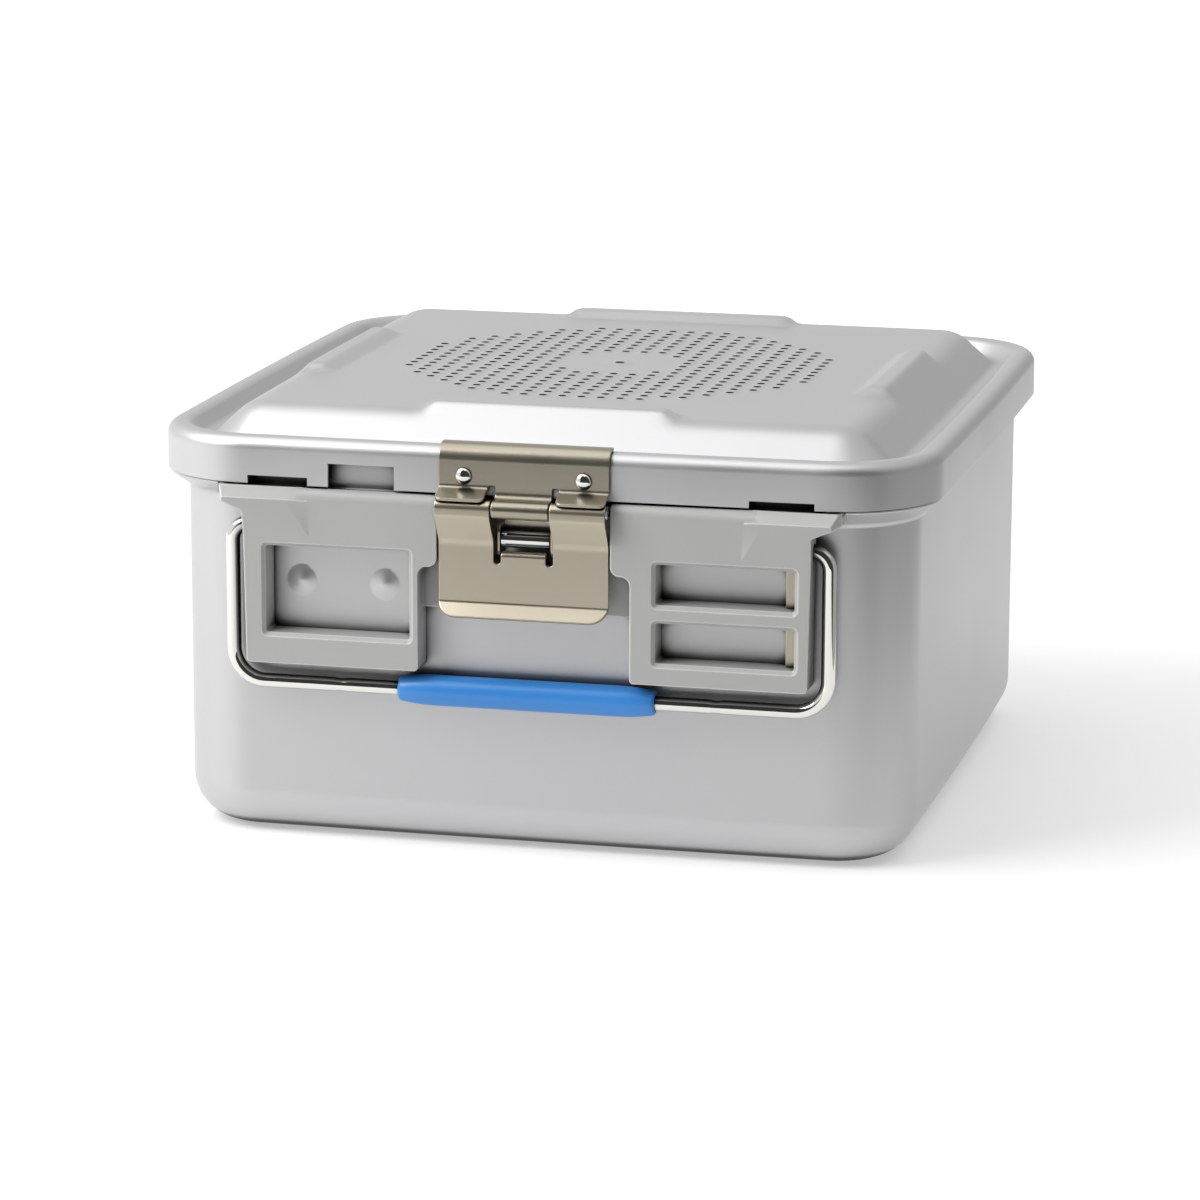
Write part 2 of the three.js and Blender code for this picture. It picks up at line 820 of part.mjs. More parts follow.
// Handle plate
function frameOutline() {
  return roundedPath([
    [-plate.innerHalfTop, plate.topZ],
    [-plate.halfWidth, plate.topZ],
    [-plate.halfWidth, plate.bottomZ],
    [-plate.innerHalfLow, plate.bottomZ],
    [-plate.innerHalfLow, plate.stepZ, plate.stepRadius],
    [-plate.innerHalfTop, plate.stepZ, plate.stepRadius],
    [-plate.innerHalfTop, plate.topZ],
  ], bendSteps).slice(1);
}

function frameSideProfile() {
  const crown = [plate.faceY + plate.topRadius, plate.topZ - plate.topRadius];
  return [
    [plate.backY, plate.bottomZ],
    [plate.backY, plate.topZ],
    ...arc(crown, plate.topRadius, 90, 180, bendSteps),
    [plate.faceY, plate.bottomZ + plate.edgeChamfer],
    [plate.faceY + plate.edgeChamfer, plate.bottomZ],
  ];
}

function framePlanProfile() {
  return [
    [-plate.halfWidth, plate.backY],
    [-plate.halfWidth, plate.faceY + plate.edgeChamfer],
    [-plate.halfWidth + plate.edgeChamfer, plate.faceY],
    [-plate.innerHalfTop - plate.edgeChamfer, plate.faceY],
    [-plate.innerHalfTop, plate.faceY + plate.edgeChamfer],
    [-plate.innerHalfTop, plate.backY],
  ];
}

function leftFrame() {
  const front = prismY(frameOutline(), plate.faceY - fit, plate.backY);
  const side = prismX(frameSideProfile(), -plate.halfWidth - fit, -plate.innerHalfTop + fit);
  const plan = prismZ(framePlanProfile(), plate.bottomZ - fit, plate.topZ + fit);
  return front.intersect(side).intersect(plan);
}

function leftEar() {
  const edge = -plate.halfWidth + plate.edgeChamfer;
  const foot = -plate.halfWidth + ear.footInset;
  const footTop = -plate.halfWidth + ear.footTopInset;
  const crest = -plate.halfWidth + ear.crestInset;
  const root = plate.faceY + plate.topRadius;
  const crownY = ear.proudY + ear.crownRun;
  const pad = solidOf(new ConvexGeometry([
    [edge, plate.faceY, ear.fadeZ],
    [foot, plate.faceY, ear.fadeZ],
    [footTop, plate.faceY, plate.topZ - plate.topRadius],
    [footTop, root, plate.topZ],
    [crest, ear.proudY, ear.crownZ],
    [edge, ear.proudY, ear.crownZ],
    [crest, crownY, plate.topZ],
    [edge, crownY, plate.topZ],
    [edge, root, ear.fadeZ],
    [foot, root, ear.fadeZ],
    [edge, root, plate.topZ],
  ].map((point) => new THREE.Vector3(...point))));
  const rootX = -plate.halfWidth + ear.rootInset;
  const pointX = -plate.halfWidth - ear.pointLength;
  const sideY = ear.backY - ear.pointDepth;
  const riseShare = (ear.undersideZ - ear.fadeZ) / (ear.crownZ - ear.fadeZ);
  const undersideY = plate.faceY - ear.proud * riseShare;
  const tip = solidOf(new ConvexGeometry([
    [rootX, undersideY, ear.undersideZ],
    [pointX, undersideY, ear.undersideZ],
    [-ear.reach, sideY, ear.undersideZ],
    [-ear.reach + ear.tipBack, ear.backY, ear.undersideZ],
    [rootX, ear.backY, ear.undersideZ],
    [rootX, ear.proudY, ear.crownZ],
    [pointX, ear.proudY, ear.crownZ],
    [rootX, crownY, plate.topZ],
    [pointX, crownY, plate.topZ],
    [-ear.reach, sideY, plate.topZ],
    [-ear.reach + ear.tipBack, ear.backY, plate.topZ],
    [rootX, ear.backY, plate.topZ],
  ].map((point) => new THREE.Vector3(...point))));
  return union([pad, tip]);
}

function windowCut({ from, to, bottomZ, topZ, stopWidth }) {
  const bevel = plate.windowBevel;
  const x = [from + bevel, to - bevel];
  const z = [bottomZ + bevel, topZ - bevel];
  const stopFrontY = plate.backY - tagWindow.stopDepth;
  const front = box(x, [plate.faceY - bevel, stopFrontY], z);
  const rear = box([x[0], x[1] - stopWidth], [stopFrontY - fit, plate.backY + bevel], z);
  const mouth = wedgeY(
    { x, z, y: plate.faceY + bevel },
    { x: [from - bevel, to + bevel], y: plate.faceY - bevel, z: [bottomZ - bevel, topZ + bevel] },
  );
  return union([front, rear, mouth]);
}

function plateHoles() {
  const rivetHoles = plateRivet.places.map(([x, z]) => (
    rod(plateRivet.shankRadius + fit, plate.backY - plateRivet.depth, -tub.halfDepth, rivetSides, 'y')
      .translate([x, 0, z])
  ));
  const pivot = rod(handle.wireRadius + fit, handle.endHalf - 2 * fit, ear.reach, rodSides, 'x');
  const pivotHole = pivot.translate([0, handle.planeY, handle.pivotZ]);
  return union([...rivetHoles, pivotHole, mirrored(pivotHole)]);
}

function handlePlate() {
  const frames = [leftFrame(), leftEar()];
  const web = box(
    [-plate.innerHalfLow - plate.windowBevel, plate.innerHalfLow + plate.windowBevel],
    [plate.webFrontY, plate.webBackY],
    [plate.webBottomZ, plate.shoulderClearZ],
  );
  const opening = box(
    [-webOpening.halfWidth, webOpening.halfWidth],
    [plate.faceY, plate.backY],
    [webOpening.bottomZ, webOpening.topZ],
  );
  const shoulderClearance = box(
    [-ear.reach - fit, ear.reach + fit],
    [plate.shoulderClearY, -tub.halfDepth],
    [plate.shoulderClearZ, plate.topZ + fit],
  );
  const body = union([...frames, ...frames.map(mirrored), web]);
  const windows = union([leftWindow, ...rightWindows].map(windowCut));
  return body.subtract(union([windows, opening, shoulderClearance, plateHoles()]));
}

function plateRivetSolid([x, z]) {
  const inside = -tub.halfDepth + tub.wall + tub.bow + fit;
  const profile = [
    [0, plate.backY - plateRivet.depth + fit],
    [plateRivet.shankRadius, plate.backY - plateRivet.depth + fit],
    [plateRivet.shankRadius, inside],
    [plateRivet.headRadius, inside],
    [plateRivet.headRadius, inside + plateRivet.headHeight],
    [0, inside + plateRivet.headHeight],
  ];
  return turned(profile, rivetSides, 'y').translate([x, 0, z]);
}

// Carrying handle
class BentPath extends THREE.Curve {
  constructor(points) {
    super();
    this.points = points;
  }

  getPointAt(u) {
    return this.points[Math.round(u * (this.points.length - 1))].clone();
  }

  getTangentAt(u) {
    const here = Math.round(u * (this.points.length - 1));
    const before = this.points[Math.max(here - 1, 0)];
    const after = this.points[Math.min(here + 1, this.points.length - 1)];
    return after.clone().sub(before).normalize();
  }
}

const wireSides = 8;
function handleWire() {
  const half = handle.halfSpan;
  const path = roundedPath([
    [-handle.endHalf, handle.pivotZ],
    [-half, handle.pivotZ, handle.upperBend],
    [-half, handle.gripZ, handle.lowerBend],
    [half, handle.gripZ, handle.lowerBend],
    [half, handle.pivotZ, handle.upperBend],
    [handle.endHalf, handle.pivotZ],
  ], wireBendSteps);
  const stations = path.map(([x, z]) => new THREE.Vector3(x, handle.planeY, z));
  const section = new THREE.Shape(
    arc([0, 0], handle.wireRadius, 0, 360, wireSides).slice(1).map(([x, y]) => new THREE.Vector2(x, y)),
  );
  const geometry = new THREE.ExtrudeGeometry(section, {
    steps: stations.length - 1,
    extrudePath: new BentPath(stations),
  });
  return facingOut(mergeVertices(stripped(geometry)));
}

function handleGrip() {
  const end = grip.halfLength;
  const neck = end - grip.taper;
  const half = [
    [grip.endRadius - grip.endRound, end],
    [grip.endRadius, end - grip.endRound],
    [grip.radius, neck],
  ];
  const profile = [
    [grip.boreRadius, -end],
    ...half.map(([radius, height]) => [radius, -height]),
    ...half.reverse(),
    [grip.boreRadius, end],
    [grip.boreRadius, -end],
  ];
  return turned(profile, rodSides, 'x').translate([0, handle.planeY, handle.gripZ]);
}

// Folded sheet: a path with the sheet's thickness to its right, as an outline
function sheetOutline(keys, thickness, steps) {
  return [...roundedPath(keys, steps), ...roundedPath(offsetKeys(keys, thickness), steps).reverse()];
}

// Latch plate
function latchPlateBody() {
  const profile = sheetOutline([
    [latch.faceY, latch.lowerZ],
    [latch.faceY, latch.topZ, latch.bendRadius],
    [-lid.halfDepth + latch.backInset, latch.topZ],
  ], latch.sheet, foldSteps);
  return prismX(profile, -latch.halfWidth, latch.halfWidth);
}

function latchStrap() {
  const pin = [latch.pinY, latch.pinZ];
  const bendZ = latch.lowerZ - latch.sheet;
  const profile = [
    [latch.faceY, latch.lowerZ + fit],
    [latch.faceY, bendZ],
    ...arc(pin, latch.knuckleOuter, 90, latch.strapCurlAngle, curlSteps),
    ...arc(pin, latch.knuckleInner, latch.strapCurlAngle, 90, curlSteps),
    [latch.faceY + latch.sheet, bendZ - latch.sheet],
    [latch.faceY + latch.sheet, latch.lowerZ + fit],
  ];
  return prismX(profile, -latch.strapHalf, latch.strapHalf);
}

function latchTab() {
  const profile = sheetOutline([
    [latch.tabReachY, latch.tabFrontZ],
    [latch.faceY, latch.lowerZ, latch.sheet],
    [latch.faceY, latch.lowerZ + latch.sheet],
  ], latch.sheet, bendSteps);
  const tab = prismX(profile, latch.tabInner, latch.halfWidth);
  const reach = latch.tabReachY - latch.sheet;
  const inner = latch.tabReachY + latch.tabCornerDepth;
  const corner = (x, inward) => prismZ([
    [x - inward * latch.tabCorner, reach],
    [x + inward * latch.tabCorner, reach],
    [x + inward * latch.tabCorner, latch.tabReachY],
    [x, inner],
    [x - inward * latch.tabCorner, inner],
  ], latch.tabFrontZ - 2 * latch.sheet, latch.lowerZ);
  return tab.subtract(union([corner(latch.tabInner, 1), corner(latch.halfWidth, -1)]));
}

function latchPlate() {
  const tab = latchTab();
  const body = union([latchPlateBody(), latchStrap(), tab, mirrored(tab)]);
  const holes = latchRivet.places.map((x) => (
    rod(latchRivet.shankRadius + fit, latch.faceY - latch.sheet, -lid.halfDepth, rivetSides, 'y')
      .translate([x, 0, latchRivet.z])
  ));
  return body.subtract(union(holes));
}

// Domed head of a rivet that stands out towards -Y from the given face
function domedHead({ headRadius, headHeight }, faceY) {
  return domeShares.map(([across, up]) => [headRadius * across, faceY - headHeight * up]);
}

function latchRivetSolid(x) {
  const outside = latch.faceY - fit;
  const inside = -lid.halfDepth + lid.sheet + fit;
  const profile = [
    [0, outside - latchRivet.headHeight],
    ...domedHead(latchRivet, outside),
    [latchRivet.shankRadius, outside],
    [latchRivet.shankRadius, inside],
    [latchRivet.tailRadius, inside],
    [latchRivet.tailRadius, inside + latchRivet.tailHeight],
    [0, inside + latchRivet.tailHeight],
  ];
  return turned(profile, headSides, 'y').translate([x, 0, latchRivet.z]);
}

function latchPin() {
  return rod(latch.pinRadius, -latch.pinHalf, latch.pinHalf, rodSides, 'x')
    .translate([0, latch.pinY, latch.pinZ]);
}

// Latch lever
function leverProfile() {
  const front = latch.pinY - latch.knuckleOuter;
  const keys = [
    [front, latch.pinZ],
    [front, lever.kneeZ, lever.kneeRadius],
    [lever.faceY, lever.creaseZ, lever.creaseRadius],
    [lever.faceY, lever.lipZ],
    [lever.faceY - lever.lipReach, lever.lipEndZ],
  ];
  const path = roundedPath(keys, foldSteps);
  const back = roundedPath(offsetKeys(keys, -latch.sheet), foldSteps);
  const pin = [latch.pinY, latch.pinZ];
  return [
    ...arc(pin, latch.knuckleOuter, lever.backCurlAngle, 180, curlSteps),
    ...path.slice(1),
    ...back.slice(1).reverse(),
    ...arc(pin, latch.knuckleInner, 180, lever.backCurlAngle, curlSteps),
  ];
}

function leverCorner() {
  const radius = lever.cornerRadius;
  const centre = [lever.halfWidth - radius, lever.lipEndZ + radius];
  const points = [
    ...arc(centre, radius, 270, 360, foldSteps),
    [lever.halfWidth + fit, centre[1]],
    [lever.halfWidth + fit, lever.lipEndZ - 2 * latch.sheet],
    [centre[0], lever.lipEndZ - 2 * latch.sheet],
  ];
  return prismY(points, lever.faceY - lever.lipReach - 2 * latch.sheet, lever.faceY + 2 * latch.sheet);
}

function latchLever() {
  const body = prismX(leverProfile(), -lever.halfWidth, lever.halfWidth);
  const y = [latch.pinY - 2 * latch.knuckleOuter, lever.faceY + 3 * latch.knuckleOuter];
  const windowZ = [lever.windowBottomZ, latch.pinZ + 2 * latch.knuckleOuter];
  const window = box([-lever.windowHalf, lever.windowHalf], y, windowZ);
  const slot = box([lever.slotInner, lever.slotOuter], y, [lever.slotBottomZ, lever.creaseZ]);
  const corner = leverCorner();
  const cut = body.subtract(union([window, slot, mirrored(slot), corner, mirrored(corner)]));
  const back = lever.faceY + latch.sheet;
  const tongue = prismX([
    [lever.faceY + fit, lever.windowBottomZ],
    [lever.faceY + fit, lever.windowBottomZ - lever.tongueDrop],
    [back, lever.windowBottomZ - 2 * lever.tongueDrop],
    [back + lever.tongueDepth, lever.windowBottomZ - lever.tongueDrop],
    [back + lever.tongueDepth, lever.windowBottomZ],
  ], -lever.slotInner, lever.slotInner);
  return union([cut, tongue]);
}

// Catch on the tub
const bracketBackY = -tub.halfDepth - fit;
const bracketFrontY = bracketBackY - keeper.sheet;

function catchBracket() {
  const base = box(
    [-keeper.baseHalf, keeper.baseHalf],
    [bracketFrontY, bracketBackY],
    [keeper.baseBottomZ, keeper.baseTopZ],
  );
  const cut = keeper.earCut;
  const earPoints = [
    [bracketBackY, keeper.earBottomZ],
    [bracketBackY, keeper.earTopZ],
    [keeper.earFrontY + cut, keeper.earTopZ],
    [keeper.earFrontY, keeper.earTopZ - cut],
    [keeper.earFrontY, keeper.earBottomZ + cut],
    [keeper.earFrontY + cut, keeper.earBottomZ],
  ];
  const earSolid = prismX(earPoints, keeper.earInner, keeper.earInner + keeper.sheet);
  const journal = rod(keeper.journalRadius + fit, -keeper.baseHalf, keeper.baseHalf, rivetSides, 'x')
    .translate([0, keeper.rollerY, keeper.rollerZ]);
  const holes = bracketRivet.places.map((x) => (
    rod(bracketRivet.shankRadius + fit, bracketFrontY - fit, bracketBackY + fit / 2, rivetSides, 'y')
      .translate([x, 0, bracketRivet.z])
  ));
  return union([base, earSolid, mirrored(earSolid)]).subtract(union([journal, ...holes]));
}

function bracketRivetSolid(x) {
  const outside = bracketFrontY - fit;
  const inside = -tub.halfDepth + tub.wall + fit;
  const profile = [
    [0, outside - bracketRivet.headHeight],
    ...domedHead(bracketRivet, outside),
    [bracketRivet.shankRadius, outside],
    [bracketRivet.shankRadius, inside],
    [bracketRivet.tailRadius, inside],
    [bracketRivet.tailRadius, inside + bracketRivet.tailHeight],
    [0, inside + bracketRivet.tailHeight],
  ];
  return turned(profile, rivetSides, 'y').translate([x, 0, bracketRivet.z]);
}

function catchRoller() {
  const profile = [
    [0, -keeper.journalHalf],
    [keeper.journalRadius, -keeper.journalHalf],
    [keeper.journalRadius, -keeper.rollerHalf],
    [keeper.rollerRadius, -keeper.rollerHalf],
    [keeper.rollerRadius, keeper.rollerHalf],
    [keeper.journalRadius, keeper.rollerHalf],
    [keeper.journalRadius, keeper.journalHalf],
    [0, keeper.journalHalf],
  ];
  return turned(profile, rodSides, 'x').translate([0, keeper.rollerY, keeper.rollerZ]);
}

// Filter set
const discTopZ = lid.flatTopZ - lid.sheet - fit;
const landTopZ = discTopZ - filterSet.discThickness - fit;
const dishTopZ = landTopZ - filterSet.dishDepth;

function filterDisc() {
  const profile = [
    [filterSet.discHole, discTopZ - filterSet.discThickness],
    [filterSet.discRadius, discTopZ - filterSet.discThickness],
    [filterSet.discRadius, discTopZ],
    [filterSet.discHole, discTopZ],
    [filterSet.discHole, discTopZ - filterSet.discThickness],
  ];
  return turned(profile, discSides, 'z');
}

function lidStud() {
  const flangeBottom = discTopZ - filterSet.studFlangeHeight;
  const profile = [
    [0, discTopZ - filterSet.studLength],
    [filterSet.studRadius, discTopZ - filterSet.studLength],
    [filterSet.studRadius, flangeBottom],
    [filterSet.studFlange, flangeBottom],
    [filterSet.studFlange, discTopZ],
    [filterSet.studBoreRadius, discTopZ],
    [filterSet.studBoreRadius, discTopZ - filterSet.studBoreDepth],
    [0, discTopZ - filterSet.studBoreDepth],
  ];
  return turned(profile, rodSides, 'z');
}

function filterRetainer() {
  const inner = filterSet.retainerRadius - filterSet.retainerLand;
  const sheet = filterSet.retainerSheet;
  const profile = [
    [filterSet.retainerHole, dishTopZ],
    [filterSet.dishRadius - sheet, dishTopZ],
    [inner, landTopZ],
    [filterSet.retainerRadius, landTopZ],
    [filterSet.retainerRadius, landTopZ - sheet],
    [inner + sheet, landTopZ - sheet],
    [filterSet.dishRadius, dishTopZ - sheet],
    [filterSet.retainerHole, dishTopZ - sheet],
    [filterSet.retainerHole, dishTopZ],
  ];
  const vent = rod(filterSet.ventRadius, dishTopZ - 2 * sheet, dishTopZ + sheet, rivetSides, 'z');
  const vents = ventRings.flatMap(({ radius, count }) => (
    Array.from({ length: count }, (_, k) => vent.translate([radius, 0, 0]).rotate([0, 0, 360 * k / count]))
  ));
  return turned(profile, discSides, 'z').subtract(union(vents));
}

function retainerKnob() {
  const top = dishTopZ - filterSet.retainerSheet - fit;
  const bottom = top - filterSet.knobHeight;
  const profile = [
    [filterSet.knobBore, bottom],
    [filterSet.knobRadius - filterSet.knobChamfer, bottom],
    [filterSet.knobRadius, bottom + filterSet.knobChamfer],
    [filterSet.knobRadius, top],
    [filterSet.knobBore, top],
    [filterSet.knobBore, bottom],
  ];
  return turned(profile, rodSides, 'z');
}

// Pieces of one side, front or rear
function sideParts(side, turn) {
  const placed = (solid) => solid.rotate([0, 0, turn]);
  const parts = [
    part(`${side}_handle_plate`, placed(handlePlate()), greyMoulding()),
    part(`${side}_catch_bracket`, placed(catchBracket()), brushedSteel()),
    part(`${side}_catch_roller`, placed(catchRoller()), polishedSteel()),
    part(`${side}_latch_plate`, placed(latchPlate()), brushedSteel()),
    part(`${side}_latch_pin`, placed(latchPin()), polishedSteel()),
    part(`${side}_latch_lever`, placed(latchLever()), brushedSteel()),
    part(`${side}_handle_wire`, placed(handleWire()), polishedSteel()),
    part(`${side}_handle_grip`, placed(handleGrip()), blueGrip()),
  ];
  plateRivet.places.forEach((place, k) => {
    parts.push(part(`${side}_plate_rivet_${k + 1}`, placed(plateRivetSolid(place)), polishedSteel()));
  });
  bracketRivet.places.forEach((x, k) => {
    parts.push(part(`${side}_bracket_rivet_${k + 1}`, placed(bracketRivetSolid(x)), polishedSteel()));
  });
  latchRivet.places.forEach((x, k) => {
    parts.push(part(`${side}_latch_rivet_${k + 1}`, placed(latchRivetSolid(x)), polishedSteel()));
  });
  return parts;
}

const container = new THREE.Group();
container.name = 'sterilization_container';
container.add(
  part('container_body', containerBody(), anodised()),
  part('lid_shell', lidShell(), anodised()),
  part('lid_gasket', lidGasket(), sealRubber()),
  part('lid_stud', lidStud(), polishedSteel()),
  part('filter_disc', filterDisc(), filterPaper()),
  part('filter_retainer', filterRetainer(), anodised()),
  part('retainer_knob', retainerKnob(), brushedSteel()),
  ...sideParts('front', 0),
  ...sideParts('rear', 180),
);

export default container;
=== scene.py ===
# %% [markdown]
# Sterilization container
#
# This lesson dresses a half-size sterilization container for surgical instruments. It has a pressed
# aluminium tub, a perforated lid with stacking bumps, a steel snap latch at the front and rear, grey
# label frames, and wire handles with blue grips. The solids arrive as a frame. Each cell replaces
# some of them with a finer piece in the same place, or gives them a finish.

# %% Load the frame and keep its box
import json
import math
from contextlib import contextmanager

import bmesh
import bpy
import numpy
from mathutils import Matrix, Vector


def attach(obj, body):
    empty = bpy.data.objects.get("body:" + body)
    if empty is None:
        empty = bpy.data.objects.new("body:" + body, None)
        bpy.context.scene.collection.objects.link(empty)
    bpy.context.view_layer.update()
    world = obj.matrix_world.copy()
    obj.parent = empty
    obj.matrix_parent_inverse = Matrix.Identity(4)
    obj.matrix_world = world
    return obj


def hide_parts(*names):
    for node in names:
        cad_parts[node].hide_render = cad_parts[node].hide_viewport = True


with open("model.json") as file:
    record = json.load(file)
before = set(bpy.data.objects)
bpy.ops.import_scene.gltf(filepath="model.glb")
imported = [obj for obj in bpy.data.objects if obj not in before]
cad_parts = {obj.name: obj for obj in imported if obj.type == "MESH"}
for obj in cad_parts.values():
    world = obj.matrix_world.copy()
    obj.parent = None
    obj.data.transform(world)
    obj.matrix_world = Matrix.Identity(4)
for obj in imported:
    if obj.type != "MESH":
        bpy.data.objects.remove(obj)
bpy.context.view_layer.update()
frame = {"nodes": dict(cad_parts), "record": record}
nodes = frame["nodes"]
print("frame loaded:", len(nodes), "nodes")

# %% [markdown]
# Paths and skins
#
# Every pressed or folded sheet here is a bent strip, so the lesson draws a strip as a path of key
# points, each with its own bend radius. Typing every point of an arc would hide the design. A helper
# rounds the corners instead, and another one moves the path sideways to give the sheet's other face.

# %% Path helpers, all in millimetres
MM = 0.001
RIGHT_ANGLE = math.pi / 2
SHORTEST_EDGE = 0.4


def arc(centre, radius, start, end, steps):
    """Points of a round arc, angles in degrees."""
    points = []
    for k in range(steps + 1):
        angle = math.radians(start + (end - start) * k / steps)
        points.append((centre[0] + radius * math.cos(angle), centre[1] + radius * math.sin(angle)))
    return points


def circle(centre, radius, count, start=0):
    """Points spread evenly round a circle, the first one at the start angle in degrees."""
    return arc(centre, radius, start, start + 360, count)[:-1]


def bend_of(key):
    """Bend radius of a key point, nothing where it has none."""
    return key[2] if len(key) > 2 else 0


def rounded_path(keys, steps, shortest=SHORTEST_EDGE):
    """Open path through key points (x, y, radius), with every corner rounded."""
    points = []
    corners = [Vector(key[:2]) for key in keys]
    for k, here in enumerate(corners):
        radius = bend_of(keys[k])
        if k in (0, len(keys) - 1) or radius <= 0:
            points.append(tuple(here))
            continue
        back = (corners[k - 1] - here).normalized()
        ahead = (corners[k + 1] - here).normalized()
        half = back.angle(ahead) / 2
        centre = here + (back + ahead).normalized() * (radius / math.sin(half))
        reach = radius / math.tan(half)
        first = here + back * reach - centre
        last = here + ahead * reach - centre
        turn = math.atan2(first.x * last.y - first.y * last.x, first.dot(last))
        wanted = round(steps * abs(turn) / RIGHT_ANGLE)
        count = max(2, min(wanted, round(radius * abs(turn) / shortest)))
        for s in range(count + 1):
            spoke = Matrix.Rotation(turn * s / count, 2) @ first + centre
            points.append(tuple(spoke))
    return points


def offset_keys(keys, distance):
    """The same key points moved to the right of the path."""
    moved = []
    corners = [Vector(key[:2]) for key in keys]
    for k, here in enumerate(corners):
        radius = bend_of(keys[k])
        before = (here - corners[k - 1]).normalized() if k else None
        after = (corners[k + 1] - here).normalized() if k < len(keys) - 1 else before
        before = before or after
        mitre = Vector((before.y + after.y, -before.x - after.x))
        mitre = mitre * (2 * distance / mitre.length_squared)
        turns_right = before.x * after.y - before.y * after.x < 0
        new_radius = radius + (-distance if turns_right else distance) if radius > 0 else 0
        moved.append((here.x + mitre.x, here.y + mitre.y, new_radius))
    return moved


one_bend = rounded_path([(0, 0), (9, 0, 2), (9, 9)], 10)
print("a strip with one bend of 2 mm has", len(one_bend), "points")

# %% [markdown]
# From points to pieces
#
# A piece starts as plain vertices and faces. Nearly all of this object is rings of points joined by
# four-sided faces: a prism has two rings, and a turned body or a swept skin has many. Booleans cut
# windows and slots, and a bevel that follows only sharp edges gives the small radius that real metal
# and plastic edges have.

# %% Mesh helpers
SHARP_ANGLE, SOFT_ANGLE = math.radians(38), math.radians(50)
WELD = 0.002
HALF_TURN = Matrix.Rotation(math.pi, 4, "Z")
MIRROR = Matrix.Diagonal((-1, 1, 1, 1))
AXIS_TURNS = {"x": (1, 2, 0), "y": (0, 2, 1), "z": (0, 1, 2)}


def add_to_scene(thing):
    """Links a new object to the scene, so that it shows."""
    bpy.context.scene.collection.objects.link(thing)
    return thing


@contextmanager
def editing(mesh):
    """Opens a mesh for editing and writes it back at the end."""
    bm = bmesh.new()
    bm.from_mesh(mesh)
    yield bm
    bm.to_mesh(mesh)
    bm.free()


def mesh_piece(name, vertices, faces):
    """New object from millimetre points, with its faces turned outwards."""
    mesh = bpy.data.meshes.new(name)
    mesh.from_pydata([Vector(v) * MM for v in vertices], [], faces)
    with editing(mesh) as bm:
        bmesh.ops.remove_doubles(bm, verts=bm.verts, dist=WELD * MM)
        bmesh.ops.recalc_face_normals(bm, faces=bm.faces)
    return add_to_scene(bpy.data.objects.new(name, mesh))


def skin_faces(rings, count, capped=True):
    """Four-sided faces between neighbouring rings of count points, with a cap at each end."""
    faces = []
    for ring in range(rings - 1):
        for k in range(count):
            a, b = ring * count + k, ring * count + (k + 1) % count
            faces.append([a, b, b + count, a + count])
    if capped:
        last = (rings - 1) * count
        faces += [list(range(count)), list(range(last, last + count))]
    return faces


def shade(piece, angle=SHARP_ANGLE):
    """Smooth shading that keeps edges sharper than the angle."""
    for face in piece.data.polygons:
        face.use_smooth = True
    piece.data.set_sharp_from_angle(angle=angle)
    return piece


def along(axis, u, v, w):
    """Point with outline coordinates u, v and the place w along the axis."""
    point = [0, 0, 0]
    for value, index in zip((u, v, w), AXIS_TURNS[axis]):
        point[index] = value
    return tuple(point)


def prism(name, outline, start, end, axis):
    """Prism along an axis. Its outline is in the other two axes, in X, Y, Z order."""
    vertices = [along(axis, u, v, w) for w in (start, end) for u, v in outline]
    return mesh_piece(name, vertices, skin_faces(2, len(outline)))


def block(x, y, z):
    """Plain box between two places on each axis."""
    outline = [(x[0], z[0]), (x[1], z[0]), (x[1], z[1]), (x[0], z[1])]
    return prism("block", outline, y[0], y[1], "y")


def turned(name, profile, sides, axis, place=(0, 0, 0)):
    """Turned body: the profile lists radius and height along the axis."""
    vertices = []
    for radius, height in profile:
        for u, v in circle((0, 0), radius, sides):
            vertices.append(Vector(along(axis, u, v, height)) + Vector(place))
    return mesh_piece(name, vertices, skin_faces(len(profile), sides, profile[0] != profile[-1]))


def both_ends(half):
    """Whole profile of a piece with two equal ends, from the half on the positive side."""
    return [(radius, -height) for radius, height in half[::-1]] + half


def rod(radius, start, end, sides, axis, place):
    """Plain cylinder used as a cutter."""
    profile = [(0, start), (radius, start), (radius, end), (0, end)]
    return turned("rod", profile, sides, axis, place)


def rods_round(ring_radius, count, radius, low, high, sides):
    """Upright cylinders spread evenly round the middle axis, used as cutters."""
    return [rod(radius, low, high, sides, "z", (*place, 0))
            for place in circle((0, 0), ring_radius, count)]


def changed_copy(piece, change):
    """Copy of a piece with its mesh turned or mirrored by a matrix."""
    twin = piece.copy()
    twin.data = piece.data.copy()
    twin.data.transform(change)
    if change.determinant() < 0:
        twin.data.flip_normals()
    return add_to_scene(twin)


def settle(piece):
    """Applies a piece's modifiers to its mesh."""
    graph = bpy.context.evaluated_depsgraph_get()
    mesh = bpy.data.meshes.new_from_object(piece.evaluated_get(graph))
    piece.modifiers.clear()
    piece.data = mesh
    return piece


def combine(piece, others, operation):
    """Boolean join, cut or overlap with other pieces, which are used up."""
    for other in others:
        step = piece.modifiers.new(operation, "BOOLEAN")
        step.operation = operation
        step.solver = "EXACT"
        step.object = other
    settle(piece)
    for other in others:
        bpy.data.objects.remove(other)
    return piece


def even_faces(piece):
    """Lets each large face decide the shading at its edges, so that it looks flat."""
    weights = piece.modifiers.new("weights", "WEIGHTED_NORMAL")
    weights.keep_sharp = True
    return piece


